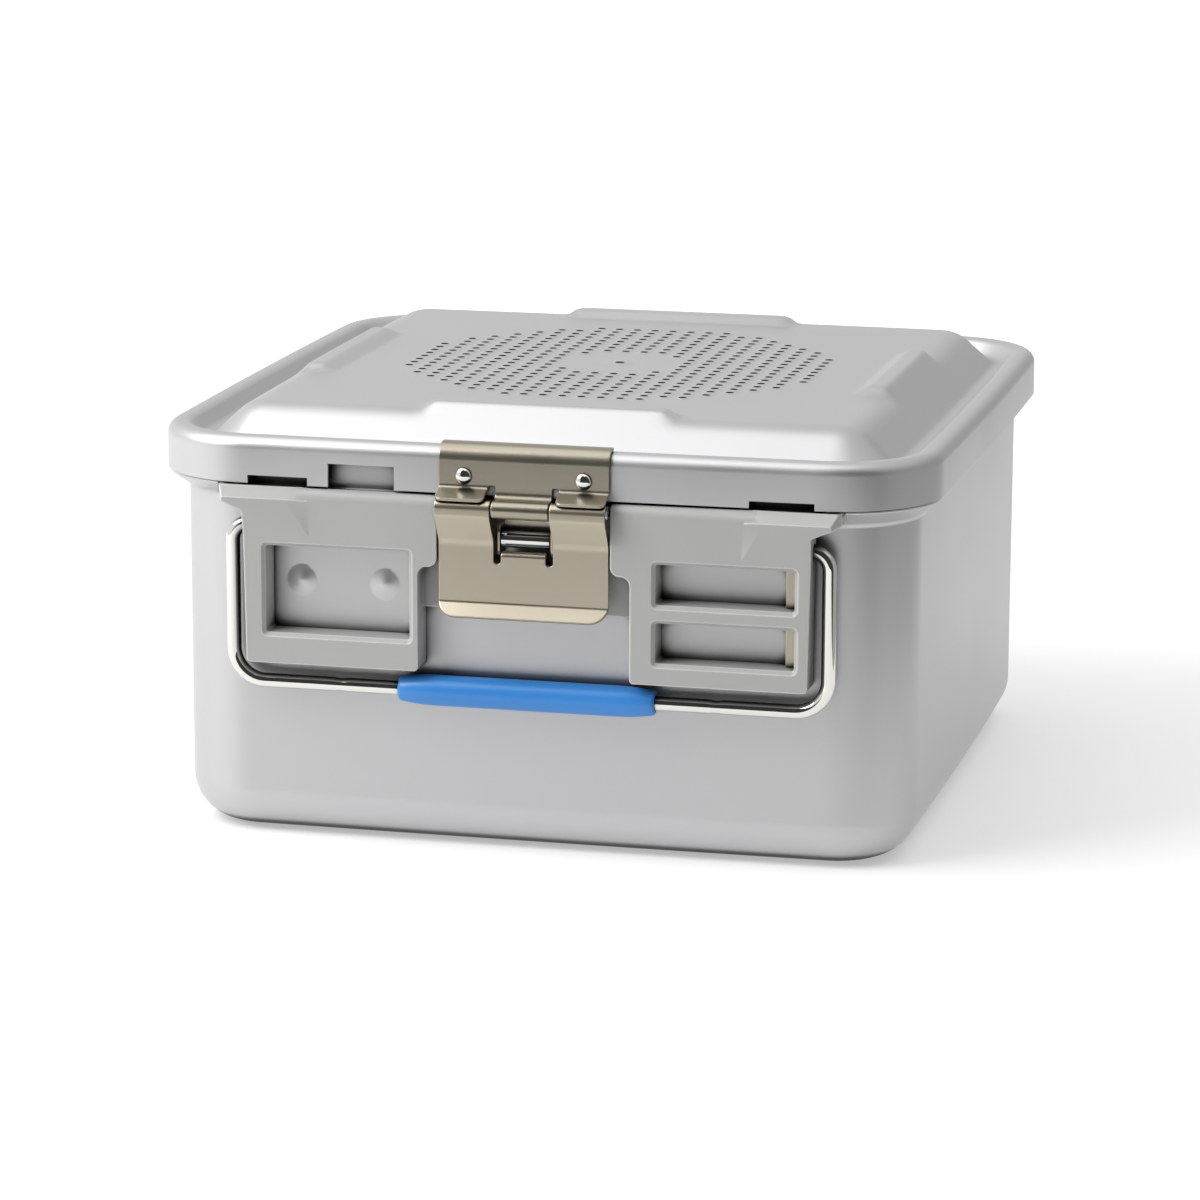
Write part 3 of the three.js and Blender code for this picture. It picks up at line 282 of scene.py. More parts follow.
def soften(piece, width, segments=2):
    """Small bevel on sharp edges, then weighted normals, so flat faces stay flat."""
    bevel = piece.modifiers.new("edge", "BEVEL")
    bevel.width = width * MM
    bevel.segments = segments
    bevel.limit_method = "ANGLE"
    bevel.angle_limit = SHARP_ANGLE
    bevel.miter_outer = "MITER_ARC"
    settle(piece)
    for face in piece.data.polygons:
        face.use_smooth = True
    return even_faces(piece)


print("edges count as sharp from", round(math.degrees(SHARP_ANGLE)), "degrees")

# %% [markdown]
# The photograph's camera
#
# The picture was taken with a long lens from the front right, a little above the lid. Eyeballing the
# place of a camera takes many tries. Here it was worked out from points whose real places are known,
# such as the lid's corners and the grid of holes, so the render can be laid over the photograph.

# %% Camera
camera_place = Vector((425.0, -1798.5, 476.7)) * MM
camera_yaw, camera_pitch, camera_roll = math.radians(13.53), math.radians(12.508), math.radians(0.189)
camera_lens, sensor_width = 141.6, 36.0

camera_data = bpy.data.cameras.new("camera")
camera_data.lens = camera_lens
camera_data.sensor_width = sensor_width
camera_data.clip_start, camera_data.clip_end = 0.1, 30.0
camera = add_to_scene(bpy.data.objects.new("camera", camera_data))
turn = Matrix.Rotation(camera_yaw, 4, "Z") @ Matrix.Rotation(RIGHT_ANGLE - camera_pitch, 4, "X")
camera.matrix_world = Matrix.Translation(camera_place) @ turn @ Matrix.Rotation(camera_roll, 4, "Z")
bpy.context.scene.camera = camera
print("camera stands", round(camera_place.length, 3), "m from the middle of the base")

# %% [markdown]
# Shared surface effects
#
# Anodised aluminium, moulded plastic and brushed steel all carry a fine texture that breaks up their
# highlights. A texture in object space needs no unwrapping. One node group makes the grain for all of
# them: stretched along one axis it is a brushed line, and left even it is a soft matt grain. A second
# group gives slow patches, because no real surface has the same gloss all over. A small helper keeps
# the node code short: each input is given as a value, or as another node's output to link.

# %% Node helpers and groups
EVEN, BRUSHED_X = (1.0, 1.0, 1.0), (0.03, 1.0, 1.0)


def feed(tree, node, inputs):
    """Gives a node its inputs, as values to set or as outputs of other nodes to link."""
    for socket, value in inputs.items():
        if isinstance(value, bpy.types.NodeSocket):
            tree.links.new(value, node.inputs[socket])
        else:
            node.inputs[socket].default_value = value
    return node


def add_node(tree, kind, inputs=(), **settings):
    """New shader node with its settings made and its inputs fed."""
    node = tree.nodes.new("ShaderNode" + kind)
    for setting, value in settings.items():
        setattr(node, setting, value)
    return feed(tree, node, dict(inputs))


def map_range(tree, value, start, end, low=0.0, high=1.0, easing="SMOOTHSTEP"):
    """Output that goes from low to high while the value goes from start to end."""
    ends = {"Value": value, "From Min": start, "From Max": end, "To Min": low, "To Max": high}
    return add_node(tree, "MapRange", ends, interpolation_type=easing).outputs["Result"]


def mix(tree, factor, first, second, kind="RGBA"):
    """Output that goes from the first to the second as the factor goes from 0 to 1."""
    inputs = {"Factor": factor, "A": first, "B": second}
    return add_node(tree, "Mix", inputs, data_type=kind).outputs["Result"]


def new_group(name, inputs, outputs):
    """Empty shader node group with numbers or vectors going in and numbers coming out."""
    group = bpy.data.node_groups.new(name, "ShaderNodeTree")
    for socket, value in inputs.items():
        kind = "NodeSocketFloat" if isinstance(value, float) else "NodeSocketVector"
        item = group.interface.new_socket(socket, in_out="INPUT", socket_type=kind)
        item.default_value = value
    for socket in outputs:
        group.interface.new_socket(socket, in_out="OUTPUT", socket_type="NodeSocketFloat")
    return group, group.nodes.new("NodeGroupInput"), group.nodes.new("NodeGroupOutput")


def build_grain_group():
    """Fine noise in object space, as a height for bumps."""
    group, enter, leave = new_group("fine_grain", {"Stretch": EVEN, "Scale": 900.0}, ["Height"])
    coords = add_node(group, "TexCoord").outputs["Object"]
    stretched = add_node(
        group, "VectorMath", {0: coords, 1: enter.outputs["Stretch"]}, operation="MULTIPLY")
    noise = add_node(group, "TexNoise", {
        "Vector": stretched.outputs["Vector"], "Scale": enter.outputs["Scale"],
        "Detail": 3.0, "Roughness": 0.6})
    feed(group, leave, {"Height": noise.outputs["Fac"]})
    return group


def build_patches_group():
    """Slow noise in object space, once between two given values and once as a mask."""
    group, enter, leave = new_group(
        "slow_patches", {"Scale": 18.0, "Low": 0.3, "High": 0.4}, ["Value", "Mask"])
    coords = add_node(group, "TexCoord").outputs["Object"]
    noise = add_node(group, "TexNoise", {
        "Vector": coords, "Scale": enter.outputs["Scale"], "Detail": 1.0})
    spread = map_range(group, noise.outputs["Fac"], 0.2, 0.8, enter.outputs["Low"],
                       enter.outputs["High"], "LINEAR")
    feed(group, leave, {"Value": spread, "Mask": noise.outputs["Fac"]})
    return group


grain_group = build_grain_group()
patches_group = build_patches_group()
print("node groups:", grain_group.name, patches_group.name)

# %% [markdown]
# Finishes
#
# The tub and lid are clear anodised: metal, but with a rough, even skin that shows no sharp
# reflections. The latches are brushed stainless steel with a slightly warm tone. The handle wire and
# the roller are polished, so they show the dark and bright parts of the room. The grips are blue
# plastic with a soft sheen, and the frames are a grey moulding. Two kinds of painted light follow
# the shape, so they need no mask of their own: painted shade darkens the colour in seams and
# recesses, where little light gets in, and a painted highlight lightens it along the rounded edges
# of the moulding and the steel, where real ones catch the light.

# %% Material builder
relief_depth, ray_samples, bevel_samples = 0.05, 16, 6


def srgb(*channels):
    """Linear colour of an sRGB colour given in 0 to 255."""
    values = [c / 255 for c in channels]
    return tuple(v / 12.92 if v <= 0.04045 else ((v + 0.055) / 1.055) ** 2.4 for v in values) + (1.0,)


def paint_gap_shade(tree, colour, gap_shade_colour, reach, closed_at=0.3, open_at=0.8):
    """Painted shade: colour that turns darker where another surface stands within reach, in a seam or
    recess.
    """
    nearby = add_node(tree, "AmbientOcclusion", {"Distance": reach * MM}, samples=ray_samples)
    openness = map_range(tree, nearby.outputs["AO"], closed_at, open_at)
    return mix(tree, openness, srgb(*gap_shade_colour), colour)


def paint_edge_highlight(tree, colour, rounded, highlight_colour):
    """Painted highlight: colour that turns lighter where the rounded normal leaves the face's own, at
    edges.
    """
    face_normal = add_node(tree, "NewGeometry").outputs["Normal"]
    likeness = add_node(tree, "VectorMath", {0: rounded, 1: face_normal}, operation="DOT_PRODUCT")
    highlight_mask = map_range(tree, likeness.outputs["Value"], 0.995, 0.90, easing="LINEAR")
    return mix(tree, highlight_mask, colour, srgb(*highlight_colour))


def make_finish(name, colour, dark_colour, metallic, gloss, grain, bump,
                gap_shade=None, edge=None, patch_scale=18.0):
    """Principled finish with grain in its bump and slow patches in its colour and roughness.

    Colours are sRGB, 0 to 255. gloss is the lowest and highest roughness, and grain is the stretch
    along each axis with the scale. The gap entry is the colour of a painted shade in tight gaps, the
    reach in millimetres at which it begins and, where they differ from the usual, how closed and how
    open a gap counts. edge is the radius in millimetres to which the light rounds the edges off, and
    the colour of the painted highlight there.
    """
    material = bpy.data.materials.new(name)
    material.use_nodes = True
    tree = material.node_tree
    fine = add_node(tree, "Group", {"Stretch": grain[0], "Scale": grain[1]}, node_tree=grain_group)
    patches = add_node(tree, "Group", {"Scale": patch_scale, "Low": gloss[0], "High": gloss[1]},
                       node_tree=patches_group)
    relief = add_node(tree, "Bump", {
        "Strength": bump, "Distance": relief_depth * MM, "Height": fine.outputs["Height"]})
    tinted = mix(tree, patches.outputs["Mask"], srgb(*dark_colour), srgb(*colour))
    # Painted highlight: a lighter colour along the rounded edges.
    if edge:
        rounded = add_node(tree, "Bevel", {"Radius": edge[0] * MM}, samples=bevel_samples)
        feed(tree, relief, {"Normal": rounded.outputs["Normal"]})
        tinted = paint_edge_highlight(tree, tinted, rounded.outputs["Normal"], edge[1])
    # Painted shade: a darker colour in seams and recesses.
    if gap_shade:
        tinted = paint_gap_shade(tree, tinted, *gap_shade)
    feed(tree, tree.nodes["Principled BSDF"], {
        "Base Color": tinted, "Metallic": metallic, "Roughness": patches.outputs["Value"],
        "Normal": relief.outputs["Normal"]})
    return material


# Painted light in the looks: each gap entry is a painted shade in seams and recesses, nearly black on
# the rim band of the tub and dark over a wide reach on the polished wire, and each edge entry is a
# painted highlight along the edges of the moulding and the brushed steel.
ANODISED = ((196, 196, 197), (190, 190, 191), 0.85, (0.38, 0.44), (EVEN, 1400), 0.25)
BRUSHED = (1.0, (0.28, 0.33), (BRUSHED_X, 800), 0.2, ((44, 42, 38), 3.0), (0.4, (236, 230, 216)), 30.0)
LOOKS = {
    "anodised": (*ANODISED, ((40, 40, 40), 4.0)),
    "anodised_tub": (*ANODISED, ((60, 60, 60), 6.0)),
    "anodised_rim_painted_shade": (*ANODISED, ((10, 10, 10), 18.0, 0.24, 0.6)),
    "moulding": ((172, 172, 170), (166, 166, 164), 0.0, (0.32, 0.38), (EVEN, 1100), 0.2,
                 ((42, 42, 38), 8.0, 0.28, 0.72), (0.9, (232, 232, 229))),
    "latch_steel": ((178, 170, 153), (168, 160, 144), *BRUSHED),
    "latch_plate_steel": ((160, 154, 140), (152, 146, 132), *BRUSHED),
    "polished_steel": ((222, 221, 216), (214, 213, 208), 1.0, (0.03, 0.06), (EVEN, 500), 0.04,
                       ((18, 18, 18), 12.0, 0.3, 0.95)),
    "blue_grip": ((55, 135, 210), (50, 127, 203), 0.0, (0.3, 0.38), (EVEN, 700), 0.12),
    "seal": ((150, 150, 146), (140, 140, 136), 0.0, (0.7, 0.8), (EVEN, 800), 0.3),
    "filter_paper": ((238, 236, 228), (228, 226, 216), 0.0, (0.85, 0.95), (EVEN, 600), 0.6),
    # Walls of the lid's holes: darker partly as raw punched metal, partly as painted shade.
    "punched_edge_and_shade": ((70, 70, 70), (52, 52, 52), 0.6, (0.5, 0.6), (EVEN, 900), 0.1),
}
FINISHES = {name: make_finish(name, *look) for name, look in LOOKS.items()}


def dress(piece, body, slot, finish=None):
    """Gives a piece its finish, the one named for its record slot unless another is given, and a body.
    """
    piece.data.materials.clear()
    piece.data.materials.append(FINISHES[finish or slot])
    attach(piece, body)
    return piece


for part in frame["record"]["subparts"]:
    mesh = nodes[part["node"]].data
    mesh.materials.clear()
    mesh.materials.append(FINISHES[part["material_slot"]])
print("finishes:", ", ".join(FINISHES))

# %% [markdown]
# A skin swept round a rounded rectangle
#
# The tub, the lid and the seal are all the same idea: one cross-section that runs round a rounded
# rectangle whose sides bow out slightly. Extruding along a curve would twist at the corners, so the
# skin is built ring by ring. Moving a ring outwards also grows its corner radius, as pressing does.

# %% Ring helpers
CORNER_STEPS, SIDE_STEPS, LID_SIDE_STEPS = 16, 24, 76
SMALLEST_CORNER = 1.0


def smooth(value):
    """Eases a value from 0 to 1."""
    value = min(max(value, 0.0), 1.0)
    return value * value * (3 - 2 * value)


def outline(half_x, half_y, radius, bow, side_steps):
    """Rounded rectangle from above, starting at +X and going round through +Y."""
    cx, cy = half_x - bow - radius, half_y - bow - radius
    corners = [((cx, cy), 0), ((-cx, cy), 90), ((-cx, -cy), 180), ((cx, -cy), 270)]
    points = []
    for number, (centre, start) in enumerate(corners):
        points += arc(centre, radius, start, start + 90, CORNER_STEPS)
        end = Vector(points[-1])
        length = 2 * (cx if number % 2 == 0 else cy)
        outward = Vector((math.cos(math.radians(start + 90)), math.sin(math.radians(start + 90))))
        heading = Vector((-outward.y, outward.x))
        for k in range(1, side_steps):
            share = k / side_steps
            bulge = outward * bow * 4 * share * (1 - share)
            points.append(tuple(end + heading * length * share + bulge))
    return points


def ring_points(profile, base, side_steps, raise_point=None):
    """Points of one outline moved out and up by the profile, and how many there are in a ring.

    base holds the half sizes, the corner radius, the bow of the sides, and how far an outward move
    goes in depth for each step in width.
    """
    half_x, half_y, radius, bow, depth_share = base
    points = []
    for out, z in profile:
        out_y = out * depth_share if out > 0 else out
        corner = max(radius + out, SMALLEST_CORNER)
        for x, y in outline(half_x + out, half_y + out_y, corner, bow, side_steps):
            points.append((x, y, raise_point(out, x, y, z) if raise_point else z))
    return points, len(points) // len(profile)


def swept(name, profile, base, raise_point=None):
    """Skin over the rings, with a flat cap at each end unless the profile is closed."""
    points, count = ring_points(profile, base, SIDE_STEPS, raise_point)
    return mesh_piece(name, points, skin_faces(len(profile), count, profile[0] != profile[-1]))


print("a ring has", len(outline(100, 100, 20, 1, SIDE_STEPS)), "points")

# %% [markdown]
# The tub
#
# The tub is deep drawn from one sheet. Its wall flares into a shoulder near the top, and above it a
# narrower rim stands up inside the lid. Two low round bosses, pressed outwards, show in the label
# window. The skin is one profile swept all round, and the bosses are turned and joined to it.

# %% Tub
TUB_BASE = (142.2, 141.6, 31.0, 0.9, 1.19)
tub_wall, tub_bottom_radius, tub_floor_inset = 1.8, 18.0, 24.0
flare_start, flare_reach, flare_edge, flare_top = 131.6, 7.0, 135.2, 136.1
rim_reach, rim_top = 3.3, 150.6
seam_lift, seam_low, seam_ease = 1.6, 132.5, 3.0
plate_side, plate_side_ease = 109.0, 5.0
boss_places, boss_height = (-88.4, -56.0), 100.0
boss_profile = [(0, 1.0), (6.9, 1.0), (6.9, 0.12), (6.2, -0.02), (5.0, -0.16), (2.0, -0.95),
                (0.9, -1.15), (0, -1.2)]


def closed_seam(out, x, y, z):
    """Lifts the flare's edge to the lid's skirt, except behind the handle plates."""
    if out < rim_reach - 0.1 or z > flare_top + 1.1:
        return z
    beside_plate = smooth((abs(x) - plate_side) / plate_side_ease)
    return z + seam_lift * smooth((z - seam_low) / seam_ease) * beside_plate


def tub_front_at(x):
    """Distance of the tub's bowed front face from the middle, at a place across."""
    _, half_y, radius, bow, _ = TUB_BASE
    straight = TUB_BASE[0] - bow - radius
    share = (x + straight) / (2 * straight)
    return half_y - bow * (1 - 4 * share * (1 - share))


def build_tub():
    outer = rounded_path([
        (-tub_floor_inset, 0), (0, 0, tub_bottom_radius), (0, flare_start, 3.0),
        (flare_reach, flare_edge, 0.4), (flare_reach, flare_top, 0.4),
        (rim_reach, flare_top, 1.0), (rim_reach, rim_top, 0.6), (rim_reach - tub_wall / 2, rim_top),
    ], 10)
    inner = rounded_path([
        (-tub_floor_inset, tub_wall), (-tub_wall, tub_wall, tub_bottom_radius - tub_wall),
        (-tub_wall, flare_start, 3.0), (rim_reach - tub_wall, flare_top, 3.0),
        (rim_reach - tub_wall, rim_top, 0.6), (rim_reach - tub_wall / 2, rim_top),
    ], 10)
    tub = swept("container_tub", outer + inner[::-1][1:], TUB_BASE, closed_seam)
    bosses = []
    for x in boss_places:
        profile = [(radius, depth - tub_front_at(x)) for radius, depth in boss_profile]
        bosses.append(turned("boss", profile, 48, "y", (x, 0, boss_height)))
    bosses += [changed_copy(boss, HALF_TURN) for boss in bosses]
    return combine(tub, bosses, "UNION")


tub = even_faces(shade(build_tub(), math.radians(30)))
dress(tub, "base", "anodised", "anodised_tub")
# The outer face of the rim band inside the lid gets a second finish with a strong painted shade: its
# colour turns near black close to the lid's skirt, so the gap behind the skirt's notches is dark.
tub.data.materials.append(FINISHES["anodised_rim_painted_shade"])
for face in tub.data.polygons:
    if flare_top - 0.1 < face.center.z / MM < rim_top and face.normal.xy.dot(face.center.xy) > 0:
        face.material_index = 1
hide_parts("container_body")
print("tub faces:", len(tub.data.polygons))

# %% [markdown]
# The lid
#
# The lid's section has a skirt, a rounded rim, a gutter and a domed slope up to the flat top. The
# stacking bumps are pressed into the same sheet, so they are made by raising the ring points near the
# middle of each side, not by setting bars on top.

# %% Lid section and bumps
LID_BASE = (150.0, 151.5, 40.0, 0.9, 1.0)
lid_sheet, skirt_bottom, rim_height, flat_height = 1.5, 138.0, 155.5, 163.0
lid_keys = [
    (-50.0, flat_height), (-32.1, flat_height, 15.0), (-14.9, 147.5, 4.0),
    (-8.2, rim_height, 4.8), (0, rim_height, 4.8), (0, skirt_bottom),
]
bump_keys = [(-50.0, flat_height), (-47.2, flat_height, 1.6), (-41.2, 166.0, 1.6),
             (-35.4, 166.0, 2.5), (-26.5, 157.95)]
bump_half, bump_end, bump_step = 50.0, 6.0, 1.0


bump_path = rounded_path(bump_keys, 8)
bump_outs, bump_heights = zip(*bump_path)


def raised(out, x, y, z):
    """Lifts a ring point onto the stacking bump where it lies in one."""
    if not bump_keys[0][0] <= out <= bump_keys[-1][0]:
        return z
    on_side = abs(y) / (LID_BASE[1] + out) < abs(x) / (LID_BASE[0] + out)
    distance = abs(y) if on_side else abs(x)
    ease = smooth((bump_half - distance) / bump_end)
    return z + ease * max(0.0, float(numpy.interp(out, bump_outs, bump_heights)) - z)


def fine_path(path, step, start, end):
    """Adds points to a path between two places, where a finer form needs them."""
    result = [path[0]]
    for (x0, z0), (x1, z1) in zip(path, path[1:]):
        pieces = 1
        if x1 > start and x0 < end:
            pieces = max(1, math.ceil(abs(x1 - x0) / step))
        for k in range(1, pieces + 1):
            result.append((x0 + (x1 - x0) * k / pieces, z0 + (z1 - z0) * k / pieces))
    return result


print("a stacking bump is", round(2 * bump_half), "mm long and has", len(bump_path), "points across")

# %% [markdown]
# The perforated field
#
# The holes lie on a square grid between two circles. A boolean with hundreds of cylinders is slow and
# leaves long thin triangles. A tile is better: each grid cell is a square with a round hole already in
# it, or a plain square, and the tiles share their corners.

# %% Perforated lid
hole_pitch, hole_radius, hole_ring, centre_radius = 7.55, 1.6, 2.3, 1.9
hole_inner, hole_outer, hole_lip = 24.2, 84.6, 0.35
hole_sides, first_hole_corner = 16, -135
grid_half, ring_share = 11, 1.35
SQUARE = ((0, 0), (1, 0), (1, 1), (0, 1))
MIDDLE = ((-1, -1), (0, -1), (1, -1), (1, 0), (1, 1), (0, 1), (-1, 1), (-1, 0), (-1, -1))
flat_under = flat_height - lid_sheet


def hole_cells():
    """Grid cells with their centres and whether they hold a hole."""
    for column in range(-grid_half, grid_half):
        for row in range(-grid_half, grid_half):
            centre = ((column + 0.5) * hole_pitch, (row + 0.5) * hole_pitch)
            yield column, row, centre, hole_inner < math.hypot(*centre) < hole_outer


def build_lid():
    outer = fine_path(rounded_path(lid_keys, 12), bump_step, bump_keys[0][0], bump_keys[-1][0])
    inner = rounded_path(offset_keys(lid_keys, lid_sheet), 12)[::-1]
    top, count = ring_points(outer, LID_BASE, LID_SIDE_STEPS, raised)
    under, _ = ring_points(inner, LID_BASE, LID_SIDE_STEPS)
    vertices = top + under
    faces = skin_faces(len(outer) + len(inner), count, capped=False)
    innermost = len(vertices) - count
    for start, z, lip in ((0, flat_height, hole_lip), (innermost, flat_under, None)):
        add_field(vertices, faces, list(range(start, start + count)), z, lip)
    return mesh_piece("lid_shell_fine", vertices, faces)


def add_field(vertices, faces, ring, z, lip):
    """Tiles the perforated square at a height and joins it to the ring round it."""
    node = {}
    for row in range(-grid_half, grid_half + 1):
        for column in range(-grid_half, grid_half + 1):
            node[column, row] = len(vertices)
            vertices.append((column * hole_pitch, row * hole_pitch, z))
    for column, row, centre, has_hole in hole_cells():
        if column in (-1, 0) and row in (-1, 0):
            continue
        corners = [node[column + right, row + up] for right, up in SQUARE]
        if has_hole:
            edges = [[corners[k], corners[(k + 1) % 4]] for k in range(4)]
            add_hole(vertices, faces, edges, centre, hole_radius, z, lip)
        else:
            faces.append(corners)
    edges = [[node[place] for place in MIDDLE[2 * k:2 * k + 3]] for k in range(4)]
    add_hole(vertices, faces, edges, (0, 0), centre_radius, z, lip)
    join_to_ring(vertices, faces, ring, node)


def add_hole(vertices, faces, edges, centre, radius, z, lip):
    """Joins a round hole to the four edges of its cell. With a lip it gets a raised rim and a wall."""
    mouth = add_circle(vertices, centre, radius + (hole_ring - hole_radius if lip else 0), z)
    quarter = hole_sides // 4
    for k, edge in enumerate(edges):
        stretch = [mouth[(k * quarter + m) % hole_sides] for m in range(quarter + 1)]
        faces.append(edge + stretch[::-1])
    if lip:
        throat = add_circle(vertices, centre, radius, z + lip)
        bottom = add_circle(vertices, centre, radius, flat_under)
        for upper, lower in ((mouth, throat), (throat, bottom)):
            for k in range(hole_sides):
                m = (k + 1) % hole_sides
                faces.append([upper[k], upper[m], lower[m], lower[k]])


def add_circle(vertices, centre, radius, z):
    """Adds a circle whose first point faces the lower left corner of its cell."""
    first = len(vertices)
    vertices += [(x, y, z) for x, y in circle(centre, radius, hole_sides, first_hole_corner)]
    return list(range(first, first + hole_sides))


def join_to_ring(vertices, faces, ring, node):
    """Four flat faces between the square field and the ring outside it."""
    g, run = grid_half, range(-grid_half, grid_half + 1)
    sides = [[(g, k) for k in run], [(-k, g) for k in run], [(-g, -k) for k in run],
             [(k, -g) for k in run]]
    near = []
    for side in sides:
        target = Vector(vertices[node[side[0]]]) * ring_share
        near.append(min(range(len(ring)), key=lambda k: (Vector(vertices[ring[k]]) - target).length))
    for number, side in enumerate(sides):
        start = near[number]
        span = (near[(number + 1) % 4] - start) % len(ring)
        outside = [ring[(start + k) % len(ring)] for k in range(span + 1)]
        faces.append([node[place] for place in side] + outside[::-1])


notches = [(-106.8, -83.5, 3.0), (-75.5, -49.9, 8.8), (84.0, 108.2, 2.6)]
notch_depth, notch_overrun = (-157.0, -146.0), 3


def notch_cutters():
    """Blocks that cut the skirt's notches at the front, and the same turned to the rear."""
    cutters = [block((start, end), notch_depth, (skirt_bottom - notch_overrun, skirt_bottom + height))
               for start, end, height in notches]
    return cutters + [changed_copy(cutter, HALF_TURN) for cutter in cutters]


lid = build_lid()
print("lid faces before cutting:", len(lid.data.polygons))
combine(lid, notch_cutters(), "DIFFERENCE")
shade(lid, math.radians(35))
dress(lid, "lid", "anodised")
# The walls of the holes get a darker second finish: partly raw punched metal, partly painted shade in
# the depth of each hole.
lid.data.materials.append(FINISHES["punched_edge_and_shade"])
for face in lid.data.polygons:
    deep = flat_under < face.center.z / MM < flat_height + 0.2
    if deep and abs(face.normal.z) < 0.2 and face.center.xy.length < (hole_outer + hole_pitch) * MM:
        face.material_index = 1
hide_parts("lid_shell")

# %% [markdown]
# Seal and filter set
#
# Under the perforated field a paper filter is held up by a dished plate with round vents. A stud
# hangs from the middle of the lid and a knob clamps the plate on it. All of them are round, so each
# one is a profile turned about the upright axis. The seal is a lip profile swept inside the lid's rim.

# %% Seal and filter set
filter_top = flat_under - 0.3
filter_thick, filter_radius, filter_hole = 0.6, 88.0, 8.0
plate_land = filter_top - filter_thick - 0.3
plate_dish = plate_land - 7.0
plate_radius, plate_sheet = 90.0, 1.2
vent_rings, vent_radius = [(30.0, 8), (58.0, 16)], 4.0
knob_top, knob_radius, knob_height = plate_dish - plate_sheet - 0.3, 12.0, 5.5
scallop_count, scallop_radius, scallop_ring = 10, 2.6, 13.4
stud_bottom, thread_radius, thread_root = filter_top - 12.2, 2.95, 2.55
thread_turns, thread_pitch = 9, 0.8


def build_seal():
    bottom, top = rim_top + 0.3, rim_top + 2.8
    lip = rounded_path([
        (-5.0, bottom + 0.3), (-2.2, bottom, 0.4), (-2.2, top - 1.6, 0.8), (-3.8, top, 0.8),
        (-6.8, top, 0.8), (-8.2, top - 1.4, 0.8), (-8.2, bottom, 0.4), (-5.0, bottom + 0.3)], 5)
    return even_faces(shade(swept("lid_seal_fine", lip, LID_BASE), SOFT_ANGLE))


def build_filter():
    bottom, crease = filter_top - filter_thick, filter_top - 0.12
    edge = rounded_path([
        (filter_hole, filter_top), (86.0, filter_top), (86.4, crease), (87.2, crease),
        (87.6, filter_top), (filter_radius, filter_top, 0.2), (filter_radius, bottom, 0.2),
        (filter_hole, bottom), (filter_hole, filter_top)], 4)
    return shade(turned("filter_disc_fine", edge, 96, "z"))


def build_filter_plate():
    keys = [(3.5, plate_dish), (plate_radius - 11.0, plate_dish, 3.0),
            (plate_radius - 7.0, plate_land, 3.0), (plate_radius, plate_land)]
    upper, lower = rounded_path(keys, 8), rounded_path(offset_keys(keys, plate_sheet), 8)
    plate = turned("filter_plate_fine", upper + lower[::-1] + upper[:1], 96, "z")
    vents = []
    for radius, count in vent_rings:
        vents += rods_round(radius, count, vent_radius, plate_dish - 3, plate_dish + 2, 32)
    return soften(combine(plate, vents, "DIFFERENCE"), 0.3)


def build_knob():
    bore, bottom = 3.3, knob_top - knob_height
    knob = turned("filter_knob_fine", rounded_path([
        (bore, bottom), (knob_radius - 1.5, bottom, 0.6), (knob_radius, bottom + 1.5, 0.6),
        (knob_radius, knob_top, 0.6), (bore, knob_top), (bore, bottom)], 5), 64, "z")
    scallops = rods_round(scallop_ring, scallop_count, scallop_radius, knob_top - 8, knob_top + 2, 24)
    return soften(combine(knob, scallops, "DIFFERENCE"), 0.4, 3)


def build_stud():
    keys = [(0, stud_bottom), (2.5, stud_bottom), (thread_radius, stud_bottom + 0.5)]
    for k in range(thread_turns):
        turn_bottom = stud_bottom + thread_pitch * k
        keys += [(thread_radius, turn_bottom + 0.7), (thread_root, turn_bottom + 1.1)]
    keys += [(thread_radius, stud_bottom + 8.0), (thread_radius, filter_top - 1.1),
             (6.7, filter_top - 1.1), (7.0, filter_top - 0.8), (7.0, filter_top - 0.3),
             (6.7, filter_top), (1.7, filter_top), (1.7, filter_top - 4.0), (0, filter_top - 4.0)]
    return shade(turned("lid_stud_fine", keys, 48, "z"))


filter_pieces = [
    (build_seal(), "lid", "seal", "lid_gasket"), (build_stud(), "lid", "polished_steel", "lid_stud"),
    (build_filter(), "filter_set", "filter_paper", "filter_disc"),
    (build_filter_plate(), "filter_set", "anodised", "filter_retainer"),
    (build_knob(), "filter_set", "latch_steel", "retainer_knob"),
]
for piece, body, slot, node in filter_pieces:
    dress(piece, body, slot)
    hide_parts(node)
print("seal and filter pieces:", len(filter_pieces))

# %% [markdown]
# Handle plate
#
# The grey moulding holds a single label window on the left, two tag windows on the right, an ear at
# each upper corner and a thin web behind the latch. It is cut from prisms, as a toolmaker would see
# it: its outline from the front, its outline from the side, and its outline from above.

# %% Handle plate
plate_face, plate_back = -154.0, -142.0
plate_half, plate_top, plate_bottom = 106.9, 137.3, 70.4
plate_inner_top, plate_inner_low, plate_step = 33.0, 40.4, 110.4
plate_proud, crown_radius = -156.4, 4.6
web_half, web_front, web_back, web_bottom = 43, -146.4, -144.2, 93.7
opening_half, opening_low, opening_high = 17.5, 103.0, 131.5
shoulder_half, shoulder_clear_z, shoulder_clear_y = 119, 131.1, -150.4
stop_face, overrun = -146.0, 1
windows = [(-101.0, -42.4, 80.6, 116.6, 0), (48.3, 103.2, 99.0, 117.0, 3.9),
           (48.3, 103.2, 77.0, 95.0, 3.9)]
window_bevel, window_corner = 1.4, 0.9
wire_radius, wire_plane, wire_half = 2.75, -147.6, 113.75
pivot_height, grip_height = 122.5, 62.1
bore_radius, bore_start, bore_end = 3.05, 95.4, 119
facet_area, odd_facet_area, flat_angle = 25, 12, math.radians(5)


